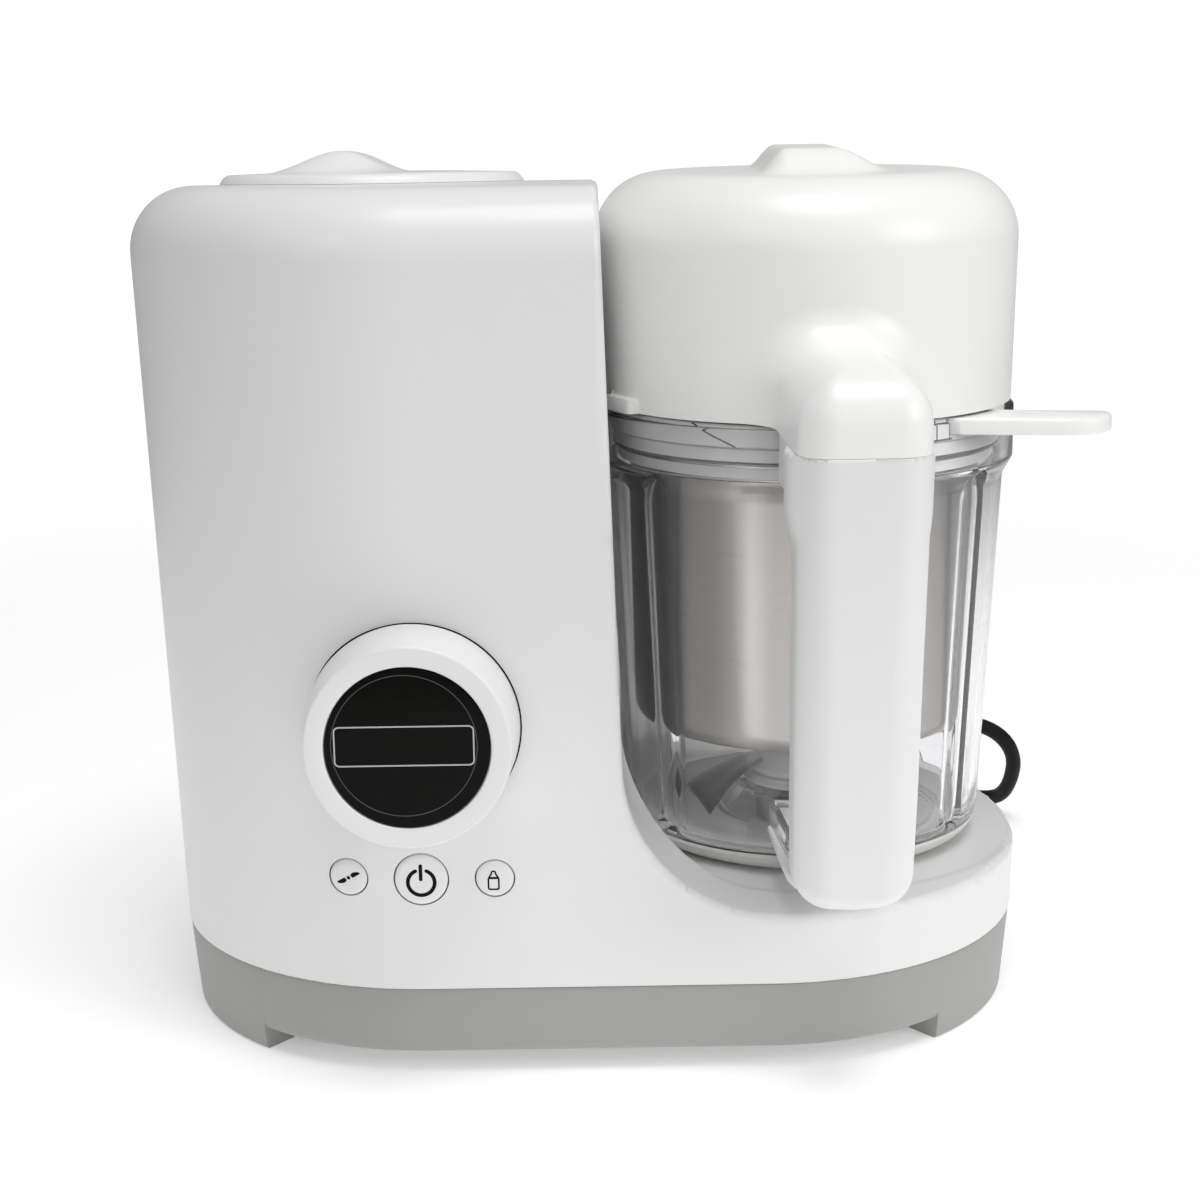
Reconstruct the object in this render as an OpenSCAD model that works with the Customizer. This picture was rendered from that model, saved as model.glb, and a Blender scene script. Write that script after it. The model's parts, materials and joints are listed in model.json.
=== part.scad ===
// Baby food steamer blender: a tower with water tank, boiler and motor beside a deck
// that carries a clear blending jug with a steel steaming basket.

/* [Housing] */
// Length of the housing at its seam
base_len = 244; // [236:1:256]
// Depth of the housing at its seam
base_depth = 158; // [154:1:170]
// Straight part of each end, between its two rounded corners
end_flat = 8; // [6:0.5:20]
// Height of the seam between housing and bottom cover
seam_z = 25; // [24:0.5:27]
// Height of the deck that the jug stands on
deck_z = 44.2; // [43:0.2:48]
// Height of the tower's top
tower_top = 233; // [228:1:240]
// Wall of the housing and the bottom cover
wall = 2.6; // [2:0.1:3]
// Outward lean of the walls for each millimetre up
lean = 0.031; // [0.02:0.001:0.04]
// Rounding of the tower's top edge
top_round = 18; // [10:1:22]
// Tower's right wall at its top, from the middle of the housing
tower_right = 2.2; // [0:0.1:3]
// Radius of the sweep from the tower's right wall into the deck
bay_round = 40; // [30:1:44]

/* [Bottom cover] */
// Underside of the bottom cover
cover_z = 5.5; // [5:0.5:6.5]
// How far the cover tapers in from the seam to its underside
cover_taper = 2.3; // [1:0.1:3]
// Distance of the foot skirts from the middle
skirt_x = 91.6; // [88:0.2:100]
// Gap between the foot skirts and the floor
skirt_gap = 0.5; // [0.3:0.1:1]
// Radius of a foot pad
pad_r = 8; // [6:0.5:10]

/* [Controls] */
// Height of the knob's axis
knob_z = 98; // [96:1:106]
// Radius of the knob at its front
knob_r = 26.6; // [25:0.2:29]
// How far the knob stands proud of the housing
knob_len = 20; // [16:0.5:24]
// Radius of the display disc
display_r = 20.9; // [18:0.1:21.4]
// Height of the buttons
button_z = 57; // [55:0.5:59]
// Radius of the power button
power_r = 7.4; // [6:0.1:8]
// Radius of the two side buttons
side_r = 5; // [4:0.1:6]
// Spacing of the buttons
button_pitch = 19.2; // [18:0.2:24]
// Travel of a button
button_travel = 1.4; // [1:0.1:1.6]

/* [Jug] */
// Jug axis from the middle of the housing
jug_x = 60; // [58:0.5:64]
// Height of the jug from its foot to the top of its collar
jug_h = 124.5; // [116:0.5:132]
// Outer radius of the jug above its bottom corner
jug_low_r = 51.5; // [50.5:0.1:53]
// Outer radius of the jug under its collar
jug_high_r = 56.2; // [55.5:0.1:57]
// Outer radius of the collar
collar_r = 58.9; // [58.2:0.1:60]
// Height of the collar
collar_h = 16; // [15:0.5:20]
// Wall of the jug
jug_wall = 2.6; // [2:0.1:3]
// Thickness of the jug floor
jug_floor = 3; // [2.5:0.1:4]
// Reach of the handle from the jug axis
handle_reach = 112; // [108:1:118]
// Width of the handle
handle_w = 31; // [28:0.5:34]
// Depth of the grip
grip_d = 24; // [20:0.5:26]
// Turn of the handle about the jug axis
handle_turn = 2.2; // [0:0.1:3]

/* [Lid] */
// Outer radius of the lid at its rim
lid_r = 58; // [57.5:0.1:59]
// Growth of the lid's radius from its rim to its shoulder
lid_flare = 1; // [0.2:0.1:1.4]
// Height of the lid
lid_h = 64; // [56:0.5:70]
// Rounding of the lid's top edge
lid_round = 17; // [10:0.5:20]
// Wall of the lid
lid_wall = 2.4; // [2:0.1:3]
// Height of the grip ridge on the lid
ridge_h = 5.6; // [3:0.1:7]

/* [Basket] */
// Outer radius of the basket at its rim
basket_r = 47.4; // [46:0.1:47.8]
// Gap between the basket's floor and the blade hub
basket_gap = 8.1; // [6:0.1:14]
// Sheet thickness of the basket
basket_sheet = 0.8; // [0.6:0.1:1.2]
// Length of the lift tab past the jug axis
tab_reach = 82; // [76:0.5:88]
// Width of the lift tab
tab_w = 17; // [14:0.5:19]
// Thickness of the lift tab
tab_t = 4.4; // [3.5:0.1:5]

/* [Tank] */
// Tank axis from the middle of the housing
tank_x = -60; // [-64:1:-58]
// Outer radius of the tank
tank_r = 36; // [34:0.5:38]
// Depth of the tank
tank_h = 93; // [88:0.5:100]
// Radius of the tank lid
tank_lid_r = 42; // [40:0.5:44]
// Height of the finger hump above the tank lid
hump_h = 5; // [3:0.1:7]

/* [Drive] */
// Radius of the motor
motor_r = 26; // [22:0.5:28]
// Length of the motor
motor_len = 60; // [50:1:62]
// Distance of the motor axis behind the middle
motor_y = 12; // [8:1:16]
// Radius of the motor pulley
motor_pulley_r = 10; // [8:0.5:12]
// Radius of the drive pulley
drive_pulley_r = 32; // [26:0.5:36]
// Radius of the drive shaft
drive_shaft_r = 4; // [3:0.1:5]
// Radius of the blade shaft
blade_shaft_r = 3; // [2.5:0.1:3.5]
// Reach of the blades
blade_r = 36; // [30:0.5:40]

/* [Cord] */
// Diameter of the cord
cord_d = 5.2; // [5:0.1:5.4]
// Turns in each of the coil's two layers
coil_turns = 2.25; // [1.25:1:2.25]
// Distance between neighbouring turns
coil_pitch = 5.8; // [5.8:0.1:6.4]

/* [Hidden] */
$fn = 64;

// Clearances: between bodies that move, inside one body, and of a shaft in its bush
gap = 0.3;
seat = 0.1;
running = 0.05;
// Overcut that carries a hole past a face
over = 1;

// Plan of the housing: its corner radius at the seam and the centres of the four arcs
corner_r = (base_depth - end_flat) / 2;
corner_x = base_len / 2 - corner_r;
corner_y = end_flat / 2;
function lean_at(z) = lean * (z - seam_z);
function wall_y(z) = -(base_depth / 2 + lean_at(z));
// Front of the housing where its plan may already curve away
function front_y(x, z) = -corner_y - sqrt(pow(corner_r + lean_at(z), 2) - pow(max(abs(x) - corner_x, 0), 2));

// Shift that puts the middle of the object's box over the origin
box_left = -(base_len / 2 + lean_at(tower_top - top_round));
tab_angle = -9;
tab_edge = 22.4;
tab_round = 5;
box_right = jug_x + (tab_reach - tab_round) * cos(tab_angle) + (tab_edge + tab_round) * sin(tab_angle)
    + tab_round;
box_back = base_depth / 2 + lean_at(tower_top - top_round);
frame_shift = [-(box_left + box_right) / 2, (handle_reach - box_back) / 2, 0];

// Levels of the base
chassis_z = seam_z + 4;
chassis_t = 3;
motor_z = chassis_z + chassis_t;
motor_shaft_r = 3;
cover_floor = cover_z + wall;
belt_z = cover_floor + 5;
belt_h = 8;
post_y = base_depth / 2 - 9;
post_r = 5;
boss_r = 7.5;
screw_r = 1.75;
pad_x = 78;
pad_y = 46;

// Levels of the jug, the basket and the lid
jug_foot = deck_z + gap;
jug_under = jug_foot + 9.5;
jug_inside = jug_under + jug_floor;
foot_recess = 2;
jug_floor_z = jug_foot + foot_recess + jug_floor;
collar_top = jug_foot + jug_h;
collar_z = collar_top - collar_h;
collar_in = collar_r - jug_wall + 0.1;
collar_step = 5;
ledge_z = collar_z + 0.4;
jug_corner = 8;
flute_r = 4;
foot_in = 40;
ring_z = ledge_z + 0.1;
ring_top = collar_top + 0.8;
ring_r = collar_in - gap;
ring_in = ring_r - 3.5;
rim_z = ring_z + 4.6;
lid_z = collar_top + 1.5;
lid_top = lid_z + lid_h;
lid_max_r = lid_r + lid_flare;
lid_seat_r = ring_in - gap;
lid_mouth_r = lid_seat_r - 2.2;
skirt_low = rim_z + basket_sheet + 1;
block_h = 19.5;
lug_r = 60.6;
lug_angle = 208;
scoop_r = lid_max_r + 3.4;
tab_z = ring_top - tab_t;
handle_low = jug_foot + 11.5;
handle_top = lid_z - gap;
handle_lug_w = 20;
low_lug = [handle_low + 5.5, handle_low + 13];
screw_head_t = 2.4;
high_lug = [collar_z - 0.5, collar_z + 11];

// Blade unit in the jug floor
shaft_low = jug_under - 1.2;
seat_neck_r = 6;
seat_r = 15;
seal_t = 0.8;
dome_r = seat_r + 3.5;
dome_foot_r = dome_r + 6;
seat_top = jug_inside + 3.2;
hub_r = 8.5;
hub_core_r = 5;
hub_low = seat_top + 0.2;
blade_t = 1.2;
blade_low = hub_low + 1.8;
blade_high = blade_low + 3.6;
hub_top = blade_high + 4;

// Levels of the tower
tank_top = tower_top - 0.4;
tank_low = tank_top - tank_h;
gasket_t = 2;
boiler_r = 27;
boiler_h = 28;
boiler_top = tank_low - gasket_t;
pipe_x = -17;
pipe_r = 4;
nozzle_z = lid_z + 29.5;
nozzle_r = 6;

// Controls: their centre line is where the front starts to curve round
control_x = -corner_x;
knob_back = wall_y(knob_z) - 1.6;
knob_front = wall_y(knob_z) - knob_len;
board_y = wall_y(button_z) + 14;
board_w = 66;
board_low = button_z - 9;
board_high = knob_z + 28;
board_t = 1.6;
membrane_t = 1.2;
membrane_h = 16;
pod_neck_r = 17;
button_proud = 0.8;
button_end = board_y - 2 * membrane_t - gap - button_travel;

// Cord: where it leaves, the points that it follows and its coil
exit_angle = 58;
exit_z = 35.5;
bushing_r = 4.4;
exit_r = corner_r + lean_at(exit_z);
bushing_len = 28;
cord_exit = [corner_x + (exit_r + bushing_len) * cos(exit_angle),
    corner_y + (exit_r + bushing_len) * sin(exit_angle), exit_z];
coil_centre = [-62, 122];
coil_out_r = 34;
coil_low_z = cord_d / 2 + 1.3;
coil_high_z = coil_low_z + coil_pitch;
coil_start = [coil_centre[0] + cord_d, coil_centre[1] + coil_out_r, coil_low_z];
lead_points = [[108, 101, 36.4], [115, 107, 38], [123, 110, 39.6], [131, 111.5, 39.4],
    [138, 112.5, 36.4], [143.6, 114, 31.4], [146.8, 116.4, 25.2], [147.5, 120, 18.8],
    [145.8, 125, 12.8], [141.6, 131, 8], [135.4, 137.5, 4.8], [127.5, 144, 3.2], [118, 149.5, 2.8],
    [107, 153.2, 2.7], [95, 155.2, 2.7], [82, 155.8, 2.7], [69, 156, 2.7], [56, 156, 2.7],
    [43, 156, 2.7], [30, 156, 2.7], [17, 156, 2.7], [4, 156, 2.7], [-9, 156, 2.8], [-22, 156, 3],
    [-35, 156, 3.4], [-45, 156, 3.8], [-50, 156, 3.9]];

// Points along an arc
function arc(centre, r, from, to, steps) =
    [for (i = [0:steps]) let (a = from + (to - from) * i / steps) centre + r * [cos(a), sin(a)]];

// Points of a rounded rectangle about the origin
function rounded(w, d, r) = concat(
    arc([w / 2 - r, d / 2 - r], r, 0, 90, 6), arc([r - w / 2, d / 2 - r], r, 90, 180, 6),
    arc([r - w / 2, r - d / 2], r, 180, 270, 6), arc([w / 2 - r, r - d / 2], r, 270, 360, 6));

function reversed(points) = [for (i = [len(points) - 1:-1:0]) points[i]];
function unit(v) = v / norm(v);

// Direction of a path at each of its points
function directions(path) = [for (i = [0:len(path) - 1])
    unit(path[min(i + 1, len(path) - 1)] - path[max(i - 1, 0)])];

// A side vector carried along the path without twist
function sides(dirs) = [for (i = 0, u = unit(cross(dirs[0], [0, 0, 1])); i < len(dirs);
    i = i + 1, u = i < len(dirs) ? unit(u - (u * dirs[i]) * dirs[i]) : u) u];

// A tube along a path, as one closed surface of triangles
module tube(path, d, count) {
    dirs = directions(path);
    side = sides(dirs);
    rings = len(path);
    points = [for (i = [0:rings - 1], k = [0:count - 1]) let (a = 360 * k / count)
        path[i] + d / 2 * (cos(a) * side[i] + sin(a) * cross(dirs[i], side[i]))];
    wall_faces = [for (i = [0:rings - 2], k = [0:count - 1], half = [0, 1])
        let (a = i * count + k, b = i * count + (k + 1) % count)
        half == 0 ? [a, a + count, b] : [b, a + count, b + count]];
    last = (rings - 1) * count;
    caps = [for (k = [1:count - 2], end = [0, 1])
        end == 0 ? [0, k, k + 1] : [last, last + k + 1, last + k]];
    polyhedron(points, concat(wall_faces, caps));
}

// A solid whose plan is a rounded rectangle; edge gives its corner radius against height
module walled(edge) {
    low = edge[0][1];
    high = edge[len(edge) - 1][1];
    spread = [for (p = edge) [corner_y + p[0], p[1]]];
    end = concat([[0, low]], edge, [[0, high]]);
    for (i = [0:3])
        translate([(i == 0 || i == 3 ? 1 : -1) * corner_x, (i < 2 ? 1 : -1) * corner_y, 0])
            rotate(90 * i)
                rotate_extrude(angle = 90) polygon(end);
    rotate([90, 0, 90])
        linear_extrude(2 * corner_x, center = true)
            polygon(concat(spread, [for (p = reversed(spread)) [-p[0], p[1]]]));
    for (turn = [0, 180])
        rotate(turn) translate([corner_x, 0, 0]) rotate([90, 0, 0])
            linear_extrude(2 * corner_y, center = true) polygon(end);
}

// Edge of the housing, set in by a wall; the inner one starts below the seam
function housing_edge(inset, low) = concat(
    [[corner_r + lean_at(low) - inset, low]],
    arc([corner_r + lean_at(tower_top - top_round) - top_round, tower_top - top_round],
        top_round - inset, 0, 90, 6));

// The space over the deck, right of the tower, as it is cut out of the housing
module bay(inset) {
    foot_x = tower_right + lean * (tower_top - deck_z - bay_round) - inset;
    centre = [foot_x + bay_round + inset, deck_z + bay_round];
    sweep = arc(centre, bay_round + inset, 180, 270, 8);
    far = base_len;
    high = tower_top + over;
    rotate([90, 0, 0])
        linear_extrude(base_depth * 2, center = true)
            polygon(concat([[tower_right - inset, high]], sweep,
                [[far, deck_z - inset], [far, high]]));
    translate([jug_x, 0, deck_z - inset]) cylinder(r = scoop_r + inset, h = high - deck_z + inset);
}

module at_posts() {
    for (sx = [-1, 1], sy = [-1, 1])
        translate([sx * corner_x, sy * post_y, 0]) children();
}

module at_controls(x, z) {
    translate([control_x + x, 0, z]) rotate([-90, 0, 0]) children();
}

module bushing_place() {
    translate([corner_x, corner_y, exit_z]) rotate([0, 90, exit_angle]) children();
}

module housing() {
    color("white")
    difference() {
        union() {
            difference() {
                walled(housing_edge(0, seam_z));
                bay(0);
                difference() {
                    walled(housing_edge(wall, seam_z - over));
                    bay(wall);
                }
            }
            // Bosses for the cover screws, on the walls
            at_posts() translate([0, 0, chassis_z + chassis_t])
                cylinder(r = boss_r, h = deck_z - wall / 2 - chassis_z - chassis_t);
        }
        at_posts() translate([0, 0, seam_z]) cylinder(r = screw_r + running, h = deck_z - 3 - seam_z);
        translate([tank_x, 0, tank_top - 10]) cylinder(r = tank_r + gap, h = 20);
        translate([jug_x, 0, deck_z - 5]) cylinder(r = 11, h = 10);
        at_controls(0, knob_z) translate([0, 0, wall_y(knob_z) - 5]) cylinder(r = pod_neck_r + seat, h = 12);
        for (i = [-1:1])
            at_controls(i * button_pitch, button_z)
                translate([0, 0, wall_y(button_z) - 5])
                    cylinder(r = (i == 0 ? power_r : side_r) + gap, h = 18);
        translate([jug_x - scoop_r - 10, 0, nozzle_z]) rotate([0, 90, 0])
            cylinder(r = nozzle_r + gap, h = 20);
        translate([jug_x + scoop_r * cos(lug_angle) - 12, scoop_r * sin(lug_angle), lid_z])
            rotate([0, 90, 0]) cylinder(r = 2, h = 20);
        bushing_place() translate([0, 0, exit_r - 10]) cylinder(r = bushing_r + seat, h = 20);
    }
}

// Edge of the bottom cover from its rounded underside up to the seam
function cover_edge(low, inset, high) = let (round = 3.5, foot = corner_r - cover_taper - inset) concat(
    arc([foot - round, low + round], round, -90, 0, 4), [[corner_r - inset, high]]);

module skirt_ends(from) {
    for (side = [0, 1])
        mirror([side, 0, 0])
            translate([from, -base_depth, 0]) cube([base_len, 2 * base_depth, cover_z + wall / 2]);
}

module bottom_cover() {
    color("darkgray")
    difference() {
        union() {
            difference() {
                walled(cover_edge(cover_z, 0, seam_z));
                walled(concat(cover_edge(cover_floor, wall, seam_z), [[corner_r - wall, seam_z + over]]));
            }
            difference() {
                intersection() {
                    walled(cover_edge(skirt_gap, 0, seam_z));
                    skirt_ends(skirt_x);
                }
                intersection() {
                    walled(concat([[corner_r - cover_taper - wall - 2, skirt_gap - over]],
                        [[corner_r - cover_taper - wall - 2, seam_z]]));
                    skirt_ends(skirt_x + wall);
                }
            }
            at_posts() translate([0, 0, cover_floor - wall / 2])
                cylinder(r = post_r, h = chassis_z - cover_floor + wall / 2);
        }
        at_posts() translate([0, 0, cover_z - over]) cylinder(r = screw_r + 0.3, h = chassis_z);
        at_posts() translate([0, 0, cover_z - over]) cylinder(r = 4, h = 6.5);
    }
}

module foot_pads() {
    color("dimgray")
    for (sx = [-1, 1], sy = [-1, 1])
        translate([sx * pad_x, sy * pad_y, 0]) cylinder(r = pad_r, h = cover_z);
}

module cover_screws() {
    head_z = cover_z + 5.5;
    color("silver")
    at_posts() {
        translate([0, 0, head_z - 2.4]) cylinder(r = 3.6, h = 2.4);
        translate([0, 0, head_z - 1]) cylinder(r = screw_r, h = deck_z - 4 - head_z);
    }
}

module chassis() {
    rim = corner_r - wall - 0.5;
    color("gainsboro")
    difference() {
        walled([[rim, chassis_z], [rim, chassis_z + chassis_t]]);
        at_posts() translate([0, 0, chassis_z - over]) cylinder(r = screw_r + 0.3, h = chassis_t + 2 * over);
        translate([tank_x, motor_y, chassis_z - over]) cylinder(r = 9, h = chassis_t + 2 * over);
        translate([jug_x, 0, chassis_z - over]) cylinder(r = 9 + seat, h = chassis_t + 2 * over);
        bushing_place() translate([0, 0, exit_r - 12]) cylinder(r = bushing_r + 2, h = 20);
    }
}

module motor() {
    color("silver")
    translate([tank_x, motor_y, motor_z])
        difference() {
            rotate_extrude() polygon([[0, 0], [motor_r, 0], [motor_r, motor_len - 6],
                [motor_r - 4, motor_len - 4], [motor_r - 4, motor_len - 2], [8, motor_len - 2],
                [8, motor_len], [0, motor_len]]);
            translate([0, 0, -over]) cylinder(r = motor_shaft_r + running, h = motor_len - 8 + over);
        }
}

// A toothless pulley with two flanges, on its own shaft axis
module pulley(r, bore) {
    low = belt_z - 1.5;
    difference() {
        rotate_extrude() polygon([[0, low], [r + 2, low], [r + 2, belt_z - 0.4], [r, belt_z - 0.4],
            [r, belt_z + belt_h + 0.4], [r + 2, belt_z + belt_h + 0.4],
            [r + 2, belt_z + belt_h + 1.5], [0, belt_z + belt_h + 1.5]]);
        if (bore > 0) translate([0, 0, low - over]) cylinder(r = bore, h = belt_h + 5);
    }
}

module motor_pulley() {
    color("dimgray")
    translate([tank_x, motor_y, 0]) {
        pulley(motor_pulley_r, 0);
        translate([0, 0, belt_z + belt_h]) cylinder(r = motor_shaft_r, h = motor_z + 40 - belt_z - belt_h);
    }
}

module belt_outline(extra) {
    hull() {
        translate([tank_x, motor_y]) circle(r = motor_pulley_r + extra);
        translate([jug_x, 0]) circle(r = drive_pulley_r + extra);
    }
}

module drive_belt() {
    color("black")
    translate([0, 0, belt_z])
        linear_extrude(belt_h)
            difference() {
                belt_outline(1.8);
                belt_outline(gap);
            }
}

module drive_pulley() {
    color("dimgray")
    translate([jug_x, 0, 0]) pulley(drive_pulley_r, drive_shaft_r + running);
}

module drive_shaft() {
    color("silver")
    translate([jug_x, 0, belt_z - 2]) cylinder(r = drive_shaft_r, h = deck_z + 6.8 - belt_z + 2);
}

module drive_bush() {
    low = belt_z + belt_h + 1.5 + gap;
    color("peru")
    translate([jug_x, 0, 0])
        difference() {
            rotate_extrude() polygon([[0, low], [9, low], [9, chassis_z + chassis_t],
                [13, chassis_z + chassis_t], [13, chassis_z + chassis_t + 2],
                [10, chassis_z + chassis_t + 2], [10, deck_z], [0, deck_z]]);
            translate([0, 0, low - over]) cylinder(r = drive_shaft_r + running, h = deck_z);
        }
}

module drive_coupling() {
    color("dimgray")
    translate([jug_x, 0, deck_z + 0.8])
        difference() {
            union() {
                cylinder(r = 6.5, h = 7.5);
                for (turn = [0, 90])
                    rotate(turn) translate([-9.5, -1.5, 0]) cube([19, 3, 7.5]);
            }
            translate([0, 0, -over]) cylinder(r = drive_shaft_r + running, h = 7.2);
        }
}

module water_tank() {
    roof = tower_top - wall;
    color("gainsboro")
    translate([tank_x, 0, 0])
        rotate_extrude() polygon([[3.2, tank_low], [tank_r, tank_low], [tank_r, roof - 2.5],
            [tank_r + 5, roof - 2.5], [tank_r + 5, roof], [tank_r, roof], [tank_r, tank_top],
            [tank_r - 2, tank_top], [tank_r - 2, tank_low + 2], [3.2, tank_low + 2]]);
}

// Finger hump: a cosine bell across the lid, carried front to back
module hump(width, length, h) {
    rotate([90, 0, 0])
        linear_extrude(length, center = true)
            polygon(concat([[-width / 2, -over]],
                [for (i = [-8:8]) [width * i / 16, h * pow(cos(90 * i / 8), 2)]],
                [[width / 2, -over]]));
}

module tank_lid() {
    low = tower_top + 0.2;
    plug_r = tank_r - 2 - gap;
    color("white")
    translate([tank_x, 0, 0]) {
        rotate_extrude() polygon(concat([[0, low]], [[tank_lid_r - 1, low]],
            arc([tank_lid_r - 2.4, low + 0.6], 2.4, 0, 80, 5), [[0, low + 4.2]]));
        translate([-2, 0, low + 3]) hump(31, 46, hump_h);
        difference() {
            translate([0, 0, low - 7]) cylinder(r = plug_r, h = 7 + over);
            translate([0, 0, low - 8]) cylinder(r = plug_r - 2, h = 8);
        }
    }
}

module tank_gasket() {
    color("lightgray")
    translate([tank_x, 0, boiler_top])
        difference() {
            cylinder(r = 16, h = gasket_t);
            translate([0, 0, -over]) cylinder(r = 4, h = gasket_t + 2 * over);
        }
}

module boiler() {
    color("silver")
    translate([tank_x, 0, boiler_top - boiler_h])
        rotate_extrude() polygon([[3.2, 3], [3.2, 0], [boiler_r - 3, 0], [boiler_r, 3],
            [boiler_r, boiler_h - 3], [boiler_r - 3, boiler_h], [4, boiler_h],
            [4, boiler_h - 3], [boiler_r - 3, boiler_h - 3], [boiler_r - 3, 3]]);
}

module steam_pipe() {
    low = boiler_top - boiler_h + 12;
    start = tank_x + boiler_r + seat;
    color("gainsboro") {
        translate([start, 0, low]) rotate([0, 90, 0]) cylinder(r = pipe_r, h = pipe_x - start);
        translate([pipe_x, 0, low]) sphere(r = pipe_r);
        translate([pipe_x, 0, low]) cylinder(r = pipe_r, h = nozzle_z - low);
        translate([pipe_x, 0, nozzle_z]) sphere(r = pipe_r);
        translate([pipe_x, 0, nozzle_z]) rotate([0, 90, 0]) cylinder(r = pipe_r, h = 6);
    }
}

module steam_nozzle() {
    start = pipe_x + 6;
    tip = jug_x - lid_max_r - 0.8;
    flange = jug_x - scoop_r - wall - 0.8;
    color("gainsboro")
    translate([0, 0, nozzle_z]) rotate([0, 90, 0])
        difference() {
            union() {
                translate([0, 0, start]) cylinder(r = nozzle_r, h = tip - start);
                translate([0, 0, flange - 3]) cylinder(r = nozzle_r + 3.5, h = 3);
            }
            translate([0, 0, start - over]) cylinder(r = 3, h = tip - start + 2 * over);
        }
}

module control_board() {
    color("darkgreen")
    translate([control_x - board_w / 2, board_y, board_low]) cube([board_w, board_t, board_high - board_low]);
}

module display_pod() {
    color("gray")
    at_controls(0, knob_z) {
        translate([0, 0, knob_back - 1]) cylinder(r = pod_neck_r, h = board_y - knob_back + 1);
        translate([0, 0, knob_front + 1.4])
            cylinder(r = display_r + 0.3, h = knob_back - 0.3 - knob_front - 1.4);
    }
}

module display_window() {
    color("black")
    at_controls(0, knob_z) translate([0, 0, knob_front + 0.4]) cylinder(r = display_r, h = 1);
}

module control_knob() {
    bore = display_r + 0.3 + gap;
    round = 2.2;
    color("white")
    at_controls(0, knob_z)
        rotate_extrude() polygon(concat(
            [[bore, knob_back], [bore, knob_front + 0.5], [bore + 0.5, knob_front]],
            arc([knob_r - round, knob_front + round], round, -90, 0, 4),
            [[knob_r + 0.9, knob_back]]));
}

module push_button(x, r) {
    front = front_y(control_x + x, button_z) - button_proud;
    flange = board_y - 6.2;
    color("white")
    at_controls(x, button_z)
        rotate_extrude() polygon([[0, front], [r - 0.6, front], [r, front + 0.6], [r, flange],
            [r + 1.2, flange], [r + 1.2, flange + 1.2], [r - 2, flange + 1.2], [r - 2, button_end],
            [0, button_end]]);
}

module power_button() {
    push_button(0, power_r);
}

module pulse_button() {
    push_button(-button_pitch, side_r);
}

module bottle_button() {
    push_button(button_pitch, side_r);
}

module button_membrane() {
    half = button_pitch + side_r + 4;
    color("dimgray") {
        translate([control_x - half, board_y - membrane_t, button_z - membrane_h / 2])
            cube([2 * half, membrane_t, membrane_h]);
        for (i = [-1:1])
            at_controls(i * button_pitch, button_z)
                translate([0, 0, board_y - 2 * membrane_t]) cylinder(r = 3.5, h = 1.5 * membrane_t);
    }
}

module interlock_switch() {
    centre = [jug_x + scoop_r * cos(lug_angle), scoop_r * sin(lug_angle), lid_z];
    color("dimgray") {
        translate(centre + [-24, -8, -8]) cube([14, 16, 16]);
        translate(centre + [-11, 0, 0]) rotate([0, 90, 0]) cylinder(r = 1.7, h = 10);
    }
}

// Footprint of the lift tab, grown by a clearance
module tab_plan(extra) {
    long = tab_reach - 30;
    rotate(tab_angle)
        translate([30 + long / 2, -tab_edge - tab_w / 2])
            polygon(rounded(long + 2 * extra, tab_w + 2 * extra, tab_round + extra));
}

module jug() {
    inner_low = jug_low_r - jug_wall;
    inner_high = jug_high_r - jug_wall;
    step_z = collar_z - collar_step;
    bend = jug_foot + jug_corner;
    color("lightgray", 0.5)
    translate([jug_x, 0, 0])
        difference() {
            union() {
                rotate_extrude() polygon(concat(
                    arc([jug_low_r - jug_corner, bend], jug_corner, -90, 0, 4),
                    [[jug_high_r, step_z], [collar_r, collar_z], [collar_r, collar_top],
                    [collar_in, collar_top], [collar_in, ledge_z], [inner_high, ledge_z],
                    [inner_high, step_z]],
                    arc([inner_low - 5, jug_floor_z + 5], 5, 0, -90, 4),
                    [[dome_foot_r, jug_floor_z], [dome_r, jug_inside], [seat_neck_r, jug_inside],
                    [seat_neck_r, jug_under], [dome_r - jug_floor, jug_under],
                    [dome_foot_r - jug_floor, jug_floor_z - jug_floor],
                    [foot_in, jug_floor_z - jug_floor], [foot_in, jug_foot]]));
                intersection() {
                    rotate_extrude() polygon([[0, jug_floor_z - 1], [jug_low_r - 1.5, jug_floor_z - 1],
                        [jug_high_r - 1, step_z], [0, step_z]]);
                    for (turn = [-140, -40, 40, 140])
                        flute(turn, step_z);
                }
                rotate(handle_turn) translate([-handle_lug_w / 2, -handle_reach + 14, low_lug[0]])
                    cube([handle_lug_w, handle_reach - 14 - jug_low_r + 2, low_lug[1] - low_lug[0]]);
                rotate(handle_turn) translate([-handle_lug_w / 2, -handle_reach + 14, high_lug[0]])
                    cube([handle_lug_w, handle_reach - 14 - collar_r + 2, high_lug[1] - high_lug[0]]);
            }
            translate([0, 0, tab_z - 0.4]) linear_extrude(collar_h) tab_plan(0.4);
            rotate(handle_turn) translate([0, -handle_reach + 18, low_lug[0] - over])
                cylinder(r = screw_r + running, h = 10);
        }
}

// A round-topped flute inside the jug wall
module flute(turn, high) {
    reach = basket_r + flute_r + 2 * gap;
    rotate(turn) translate([reach, 0, jug_floor_z - 1]) cylinder(r = flute_r, h = high - jug_floor_z);
}

// Handle lug as the grip receives it
module lug_pocket(lug) {
    translate([-handle_lug_w / 2 - seat, -handle_reach + 14 - seat, lug[0] - seat])
        cube([handle_lug_w + 2 * seat, handle_reach, lug[1] - lug[0] + 2 * seat]);
}

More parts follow.
